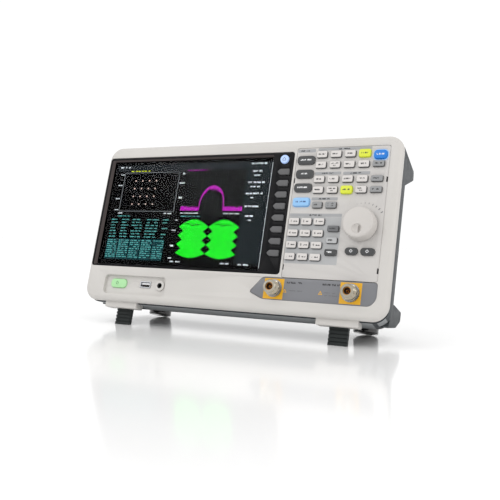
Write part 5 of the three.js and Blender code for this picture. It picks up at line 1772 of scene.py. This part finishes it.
COVER_WALL = 2.5
COVER_REAR = 108.0
COVER_SECTIONS = (
    # y, inset at the sides, rise of the underside, drop of the top, corner radius
    (10.3, 1.2, -1.0, 1.4, 16.5),
    (50.0, 8.0, -1.5, 2.6, 16.0),
    (COVER_REAR - 10, 28.0, 18.0, 21.6, 14.0),
    (COVER_REAR, 31.5, 22.0, 25.6, 12.0),
)
UNDERSIDE_LIT_DEPTH = 30.0  # depth of the strip under the cover, behind the front frame, painted paler: painted light from the floor below
BUMPER = {"left": 3.2, "right": 30.0, "draft": 0.111}
LOWER_BUMPER = ((31, -1.5), (84, 6), (115.6, 18), (116.2, 28.6), (57, 28))
UPPER_BUMPER = ((25, -3.6), (50, -41), (115.8, -11.5), (113, -1.2))
RECESS = {"half": 104.0, "front": 56.0, "front_depth": 19.5, "slope": 22.0}
BAY = (210.0, 330.0, 42.0, 78.0)
BAY_FLOOR = COVER_REAR - 6
GRILLE = {"pitch": 6.2, "rows": 9, "radius": 28.0}


def cover_loft(name, inset):
    sections = []
    for y, side, under, over, radius in COVER_SECTIONS:
        left, right = side + inset, WIDTH - side - inset
        bottom, top = under + inset, HEIGHT - over - inset
        sections.append((y, left, right, bottom, top, radius - inset))
    if inset:
        sections[0] = (sections[0][0] - 1, *sections[0][1:])
        sections[-1] = (sections[-1][0] - inset, *sections[-1][1:])
    return loft(name, sections, steps=10)


def bumper_tools():
    upper = [(y, HEIGHT + z) for y, z in UPPER_BUMPER]
    tools = []
    for left, right in ((0, BUMPER["right"]), (WIDTH - BUMPER["right"], WIDTH)):
        for corners in (LOWER_BUMPER, upper):
            bumper = side_slab("tool", list(corners), left, right, 3.2, 6)
            tools.append(combine(bumper, "INTERSECT", [draft_tool()]))
    return tools


def draft_tool():
    """Room for the bumpers, whose outer faces are drawn in towards the back."""
    inset, draft, far = BUMPER["left"], BUMPER["draft"], 2 * COVER_REAR
    front = (0, inset, WIDTH - inset, -HEIGHT, 2 * HEIGHT, 1)
    back = (far, inset + draft * far, WIDTH - inset - draft * far, -HEIGHT, 2 * HEIGHT, 1)
    return loft("tool", [front, back], steps=2)


def cover_under_tool():
    """The cover's outside, a gap lower, which the rear feet are cut to."""
    tool = cover_loft("tool", 0.0)
    weld(tool, *bumper_tools())
    for vertex in tool.data.vertices:
        vertex.co.z -= GAP
    return tool


def recess_tool(grow):
    front = RECESS["front"] - grow
    beyond = COVER_REAR + 20
    slope = math.tan(math.radians(RECESS["slope"]))

    def floor(y):
        return HEIGHT - RECESS["front_depth"] - (y - RECESS["front"]) * slope - grow

    corners = [(front, floor(front)), (beyond, floor(beyond)), (beyond, HEIGHT + 20), (front, HEIGHT + 20)]
    half = RECESS["half"] + grow
    return side_slab("tool", corners, MIDDLE - half, MIDDLE + half)


def leg_pocket_tools(grow):
    tools = []
    for side in LEG_SIDES:
        x = leg_middle(side)
        half = BRACKET["width"] / 2 + GAP + grow
        tools.append(box_tool(x - 11.75 - grow, x + 11.75 + grow, 0, 47 + grow, -20, 1.2 + grow))
        tools.append(box_tool(x - half, x + half, 0, 20.7 + grow, -20, BRACKET["rise"] + GAP + grow))
    return tools


def bay_tool(grow):
    left, right, bottom, top = BAY
    corners = rect(left - grow, right + grow, bottom - grow, top + grow)
    return slab("tool", corners, BAY_FLOOR - grow, COVER_REAR + 20, 2.0, 4)


def build_rear_cover():
    soft = sizes().cover_soft / MM
    cover = cover_loft("rear_cover_shell", 0.0)
    weld(cover, *bumper_tools())
    cut(cover, recess_tool(0), bay_tool(0), *leg_pocket_tools(0))
    soften(cover, soft, 3, 28)
    hollow = cover_loft("tool", COVER_WALL)
    cut(hollow, recess_tool(COVER_WALL), bay_tool(COVER_WALL), *leg_pocket_tools(COVER_WALL))
    cut(cover, hollow)
    fan = middle("fan_frame")
    slot = sizes().grille_slot / MM
    for i in range(GRILLE["rows"]):
        rise = (i - (GRILLE["rows"] - 1) / 2) * GRILLE["pitch"]
        half = math.sqrt(GRILLE["radius"] ** 2 - rise**2)
        corners = centred(fan.x, fan.z + rise, 2 * half, slot)
        cut(cover, slab("tool", corners, COVER_REAR - COVER_WALL - 1, COVER_REAR + 1, slot * 0.45, 4))
    handle_pin = ROW_TO_CASE @ Vector(joint_named("carry_handle_lift")["pos_m"])
    reach = RECESS["half"] + COVER_WALL + 2
    cut(cover, rod_across("tool", 3.4, MIDDLE - reach, MIDDLE + reach, handle_pin.y, handle_pin.z))
    for node in ("reference_in_connector", "reference_out_connector"):
        place = middle(node)
        cut(cover, rod("tool", 5.1, BAY_FLOOR - 10, BAY_FLOOR + 1, place.x, place.z))
    lan_low, lan_high = case_box("lan_port")
    hole = rect(lan_low.x - GAP, lan_high.x + GAP, lan_low.z - GAP, lan_high.z + GAP)
    cut(cover, slab("tool", hole, BAY_FLOOR - 10, BAY_FLOOR + 1))
    inlet = middle("mains_inlet")
    cut(cover, slab("tool", centred(inlet.x, inlet.z, 30.6, 23.6), COVER_REAR - 8, COVER_REAR + 1))
    for z in range(5):
        for side, sign in ((0, 1), (1, -1)):
            x = side * WIDTH + sign * 10
            cut(cover, slab("tool", rect(x - 9, x + 9, 100 + 9 * z, 102.6 + 9 * z), 62, 84, 0.0))
    coat(cover, "cover_dark")
    # Downward faces near the front get the paler grey: painted light from the floor.
    coat_where(cover, "cover_lip", lambda c, n: n.z < -0.5 and c.y < UNDERSIDE_LIT_DEPTH and c.z < 6)
    settle(cover, INSTRUMENT, stands_for=["rear_cover"], smooth=30)
    build_cover_screws()


def build_cover_screws():
    """Cross-head screws that hold the cover, on its back."""
    screws = []
    for x in (46.0, WIDTH - 46.0):
        for z in (34.0, HEIGHT - 60.0):
            head = turned(
                "screw",
                [
                    (0, COVER_REAR + 1.6),
                    *arc(1.4, 1.9, COVER_REAR + 0.2, 90, 0, 4),
                    (3.3, COVER_REAR - 1.0),
                    (0, COVER_REAR - 1.0),
                ],
                          (x, 0, z), steps=24)
            cut(head, slab("tool", centred(x, z, 3.6, 0.7), COVER_REAR + 0.7, COVER_REAR + 3),
                slab("tool", centred(x, z, 0.7, 3.6), COVER_REAR + 0.7, COVER_REAR + 3))
            screws.append(coat(head, "screw_steel"))
    settle(joined("cover_screws", screws), INSTRUMENT)


def build_handle():
    handle = copy_of_node("carry_handle")
    soften(handle, 1.3, 3, 40)
    coat(handle, "handle_dark")
    settle(handle, "carry_handle", stands_for=["carry_handle"], smooth=40)
    handle.name = "carry_handle_grip"


# ---- Rear connectors, fan and inside ----


def build_rear_connectors():
    for node in ("reference_in_connector", "reference_out_connector"):
        low, high = case_box(node)
        centre = middle(node)
        face, tip = BAY_FLOOR + GAP, high.y
        profile = [
            (0, low.y), (4.8, low.y), (4.8, face), (7.5, face), (7.5, face + 1.6),
            (7.0, face + 2.0), (4.8, face + 2.0), (4.8, tip - 2.4), (4.3, tip - 2.0), (4.3, tip - 1.2),
            (4.8, tip - 0.8), (4.8, tip - 0.3), (4.5, tip), (4.0, tip), (4.0, face + 3),
            (2.4, face + 3), (2.4, tip - 2.6), (1.5, tip - 2.6), (1.5, tip - 3.6), (0.9, tip - 3.6),
            (0, tip - 4.4),
        ]
        body = turned(node + "_body", profile, (centre.x, 0, centre.z), steps=40)
        lug = rod_across("tool", 1.0, low.x + 1.6, high.x - 1.6, tip - 3.5, centre.z, 16)
        cut(lug, rod("tool", 4.4, face + 2.5, tip + 1, centre.x, centre.z))
        weld(body, lug)
        coat(body, "nickel")
        settle(body, INSTRUMENT, stands_for=[node])
    port = copy_of_node("lan_port")
    soften(port, 0.3, 2, 40)
    coat(port, "socket_steel")
    coat_where(port, "socket_black", lambda c, n: c.y < case_box("lan_port")[1].y - 11)
    low, high = case_box("lan_port")
    centre = middle("lan_port")
    contacts = [
        slab("contact", centred(centre.x - 3.6 + i * 1.03, centre.z + 3.6, 0.45, 0.4), high.y - 11.5, high.y - 2.0)
        for i in range(8)
    ]
    for contact in contacts:
        coat(contact, "gold")
    settle(joined("lan_port_shell", [port, *contacts]), INSTRUMENT, stands_for=["lan_port"])
    inlet = copy_of_node("mains_inlet")
    soften(inlet, 0.5, 2, 40)
    centre = middle("mains_inlet")
    coat(inlet, "socket_black")

    def at_pins(place, normal):
        near = abs(place.z - centre.z) < 4.2 and abs(place.x - centre.x) < 8.2
        return near and place.y > COVER_REAR - 14

    coat_where(inlet, "screw_steel", at_pins)
    settle(inlet, INSTRUMENT, stands_for=["mains_inlet"])
    inlet.name = "mains_inlet_body"


def build_fan():
    frame_piece = copy_of_node("fan_frame")
    soften(frame_piece, 0.5, 2, 40)
    coat(frame_piece, "fan_black")
    settle(frame_piece, INSTRUMENT, stands_for=["fan_frame"])
    frame_piece.name = "fan_frame_body"
    rotor = copy_of_node("fan_rotor")
    soften(rotor, 0.3, 2, 50)
    coat(rotor, "fan_black")
    settle(rotor, "fan_rotor", stands_for=["fan_rotor"])
    rotor.name = "fan_rotor_blades"


INSIDE = {
    "knob_encoder": "socket_steel",
    "keypad_board": "board_green",
    "main_board": "board_green",
    "rf_shield_can": "shield_tin",
    "power_supply": "supply_steel",
}


def finish_inside():
    """The pieces inside the case keep the frame's shape and get their own finishes."""
    for node, finish in INSIDE.items():
        piece = frame["nodes"][node]
        piece.data.materials.clear()
        piece.data.materials.append(material(finish))


# ---- Stage ----

CAMERA_PLACE = Vector((0.38209, -0.74739, 0.11147))
CAMERA_LOOK = Vector((-0.45452, 0.89057, -0.01741))
CAMERA_ROLL = 1.477
CAMERA_LENS = 48.79
SENSOR = 36.0


def area_light(name, place, target, size, power, colour=(1, 1, 1)):
    data = bpy.data.lights.new(name, "AREA")
    data.shape = "DISK"
    data.size = size
    data.energy = power
    data.color = colour
    light = bpy.data.objects.new(name, data)
    light.location = place
    light.rotation_euler = (Vector(target) - Vector(place)).to_track_quat("-Z", "Y").to_euler()
    bpy.context.scene.collection.objects.link(light)


def build_stage():
    scene = bpy.context.scene
    select()
    bpy.ops.mesh.primitive_plane_add(size=24.0, location=(0, 0, 0))
    floor = bpy.context.object
    floor.name = "studio_floor"
    floor.data.materials.append(material("floor"))
    world = scene.world or bpy.data.worlds.new("studio")
    scene.world = world
    world.use_nodes = True
    sky = world.node_tree.nodes["Background"]
    sky.inputs["Color"].default_value = (1.0, 1.0, 1.0, 1.0)
    sky.inputs["Strength"].default_value = 1.05
    area_light("key_light", (-0.9, -1.5, 1.6), (0, 0, 0.1), 1.4, 9.0)
    area_light("side_light", (1.6, -0.5, 0.9), (0.1, 0, 0.1), 1.0, 5.0, (1.0, 0.97, 0.94))
    data = bpy.data.cameras.new("camera")
    data.lens = CAMERA_LENS
    data.sensor_width = SENSOR
    data.clip_start, data.clip_end = 0.01, 60.0
    camera = bpy.data.objects.new("camera", data)
    camera.location = CAMERA_PLACE
    camera.rotation_mode = "QUATERNION"
    roll = Quaternion((0, 0, 1), math.radians(CAMERA_ROLL))
    camera.rotation_quaternion = CAMERA_LOOK.to_track_quat("-Z", "Y") @ roll
    scene.collection.objects.link(camera)
    scene.camera = camera
    scene.view_settings.view_transform = "Standard"


# ---- Operators ----


class ANALYZER_OT_front_bezel(Operator):
    """Light front frame with its leg brackets and control pocket"""

    bl_idname = "analyzer.front_bezel"
    bl_label = "Front Bezel"

    def execute(self, context):
        build_front_bezel()
        return {"FINISHED"}


class ANALYZER_OT_display(Operator):
    """Black display bezel, cover glass, panel, softkeys and home key"""

    bl_idname = "analyzer.display"
    bl_label = "Display"

    def execute(self, context):
        build_display_bezel()
        build_cover_glass()
        build_lcd()
        build_softkeys()
        return {"FINISHED"}


class ANALYZER_OT_picture(Operator):
    """Traces, tables and menus that the display shows, without any words"""

    bl_idname = "analyzer.picture"
    bl_label = "Display Picture"

    def execute(self, context):
        build_spectrum_picture()
        build_eye_picture()
        build_text_picture()
        return {"FINISHED"}


class ANALYZER_OT_keypad(Operator):
    """Keypad panel, its printed fields and every key"""

    bl_idname = "analyzer.keypad"
    bl_label = "Keypad"

    def execute(self, context):
        build_keypad_panel()
        build_keypad_prints()
        build_keys()
        return {"FINISHED"}


class ANALYZER_OT_knob(Operator):
    """Rotary knob with its finger dimple"""

    bl_idname = "analyzer.knob"
    bl_label = "Rotary Knob"

    def execute(self, context):
        build_knob()
        return {"FINISHED"}


class ANALYZER_OT_signal_connectors(Operator):
    """Connector plate and the two threaded signal connectors"""

    bl_idname = "analyzer.signal_connectors"
    bl_label = "Signal Connectors"

    def execute(self, context):
        build_connector_plate()
        build_rf_connectors()
        return {"FINISHED"}


class ANALYZER_OT_pocket_controls(Operator):
    """Power button, USB port and headphone jack in the pocket"""

    bl_idname = "analyzer.pocket_controls"
    bl_label = "Pocket Controls"

    def execute(self, context):
        build_pocket_controls()
        return {"FINISHED"}


class ANALYZER_OT_supports(Operator):
    """Ribbed folding legs and round rear feet"""

    bl_idname = "analyzer.supports"
    bl_label = "Legs and Feet"

    def execute(self, context):
        build_legs()
        build_feet()
        return {"FINISHED"}


class ANALYZER_OT_rear_cover(Operator):
    """Rear cover with its bumpers, grille, screws and carry handle"""

    bl_idname = "analyzer.rear_cover"
    bl_label = "Rear Cover"

    def execute(self, context):
        build_rear_cover()
        build_handle()
        return {"FINISHED"}


class ANALYZER_OT_rear_connectors(Operator):
    """Reference connectors, network port, mains inlet and fan"""

    bl_idname = "analyzer.rear_connectors"
    bl_label = "Rear Connectors and Fan"

    def execute(self, context):
        build_rear_connectors()
        build_fan()
        return {"FINISHED"}


class ANALYZER_OT_inside(Operator):
    """Finishes of the boards, shield and supply inside the case"""

    bl_idname = "analyzer.inside"
    bl_label = "Inside"

    def execute(self, context):
        finish_inside()
        return {"FINISHED"}


class ANALYZER_OT_stage(Operator):
    """Pale floor, soft light and camera"""

    bl_idname = "analyzer.stage"
    bl_label = "Stage"

    def execute(self, context):
        build_stage()
        return {"FINISHED"}


BUILD_ORDER = (
    ANALYZER_OT_stage,
    ANALYZER_OT_front_bezel,
    ANALYZER_OT_display,
    ANALYZER_OT_picture,
    ANALYZER_OT_keypad,
    ANALYZER_OT_knob,
    ANALYZER_OT_signal_connectors,
    ANALYZER_OT_pocket_controls,
    ANALYZER_OT_supports,
    ANALYZER_OT_rear_cover,
    ANALYZER_OT_rear_connectors,
    ANALYZER_OT_inside,
)


class ANALYZER_PT_build(Panel):
    """Sizes, colours and building steps of the analyzer"""

    bl_label = "Spectrum Analyzer"
    bl_idname = "ANALYZER_PT_build"
    bl_space_type = "VIEW_3D"
    bl_region_type = "UI"
    bl_category = "Analyzer"

    def draw(self, context):
        layout = self.layout
        for group in (context.scene.analyzer_sizes, context.scene.analyzer_colours):
            box = layout.box()
            for name in group.__annotations__:
                box.prop(group, name)
        for operator in BUILD_ORDER:
            layout.operator(operator.bl_idname)


CLASSES = (AnalyzerSizes, AnalyzerColours, *BUILD_ORDER, ANALYZER_PT_build)


def register():
    for cls in CLASSES:
        bpy.utils.register_class(cls)
    bpy.types.Scene.analyzer_sizes = PointerProperty(type=AnalyzerSizes)
    bpy.types.Scene.analyzer_colours = PointerProperty(type=AnalyzerColours)


def unregister():
    del bpy.types.Scene.analyzer_colours
    del bpy.types.Scene.analyzer_sizes
    for cls in reversed(CLASSES):
        bpy.utils.unregister_class(cls)


def main():
    register()
    for operator in BUILD_ORDER:
        group, name = operator.bl_idname.split(".")
        getattr(getattr(bpy.ops, group), name)()


if __name__ == "__main__":
    main()
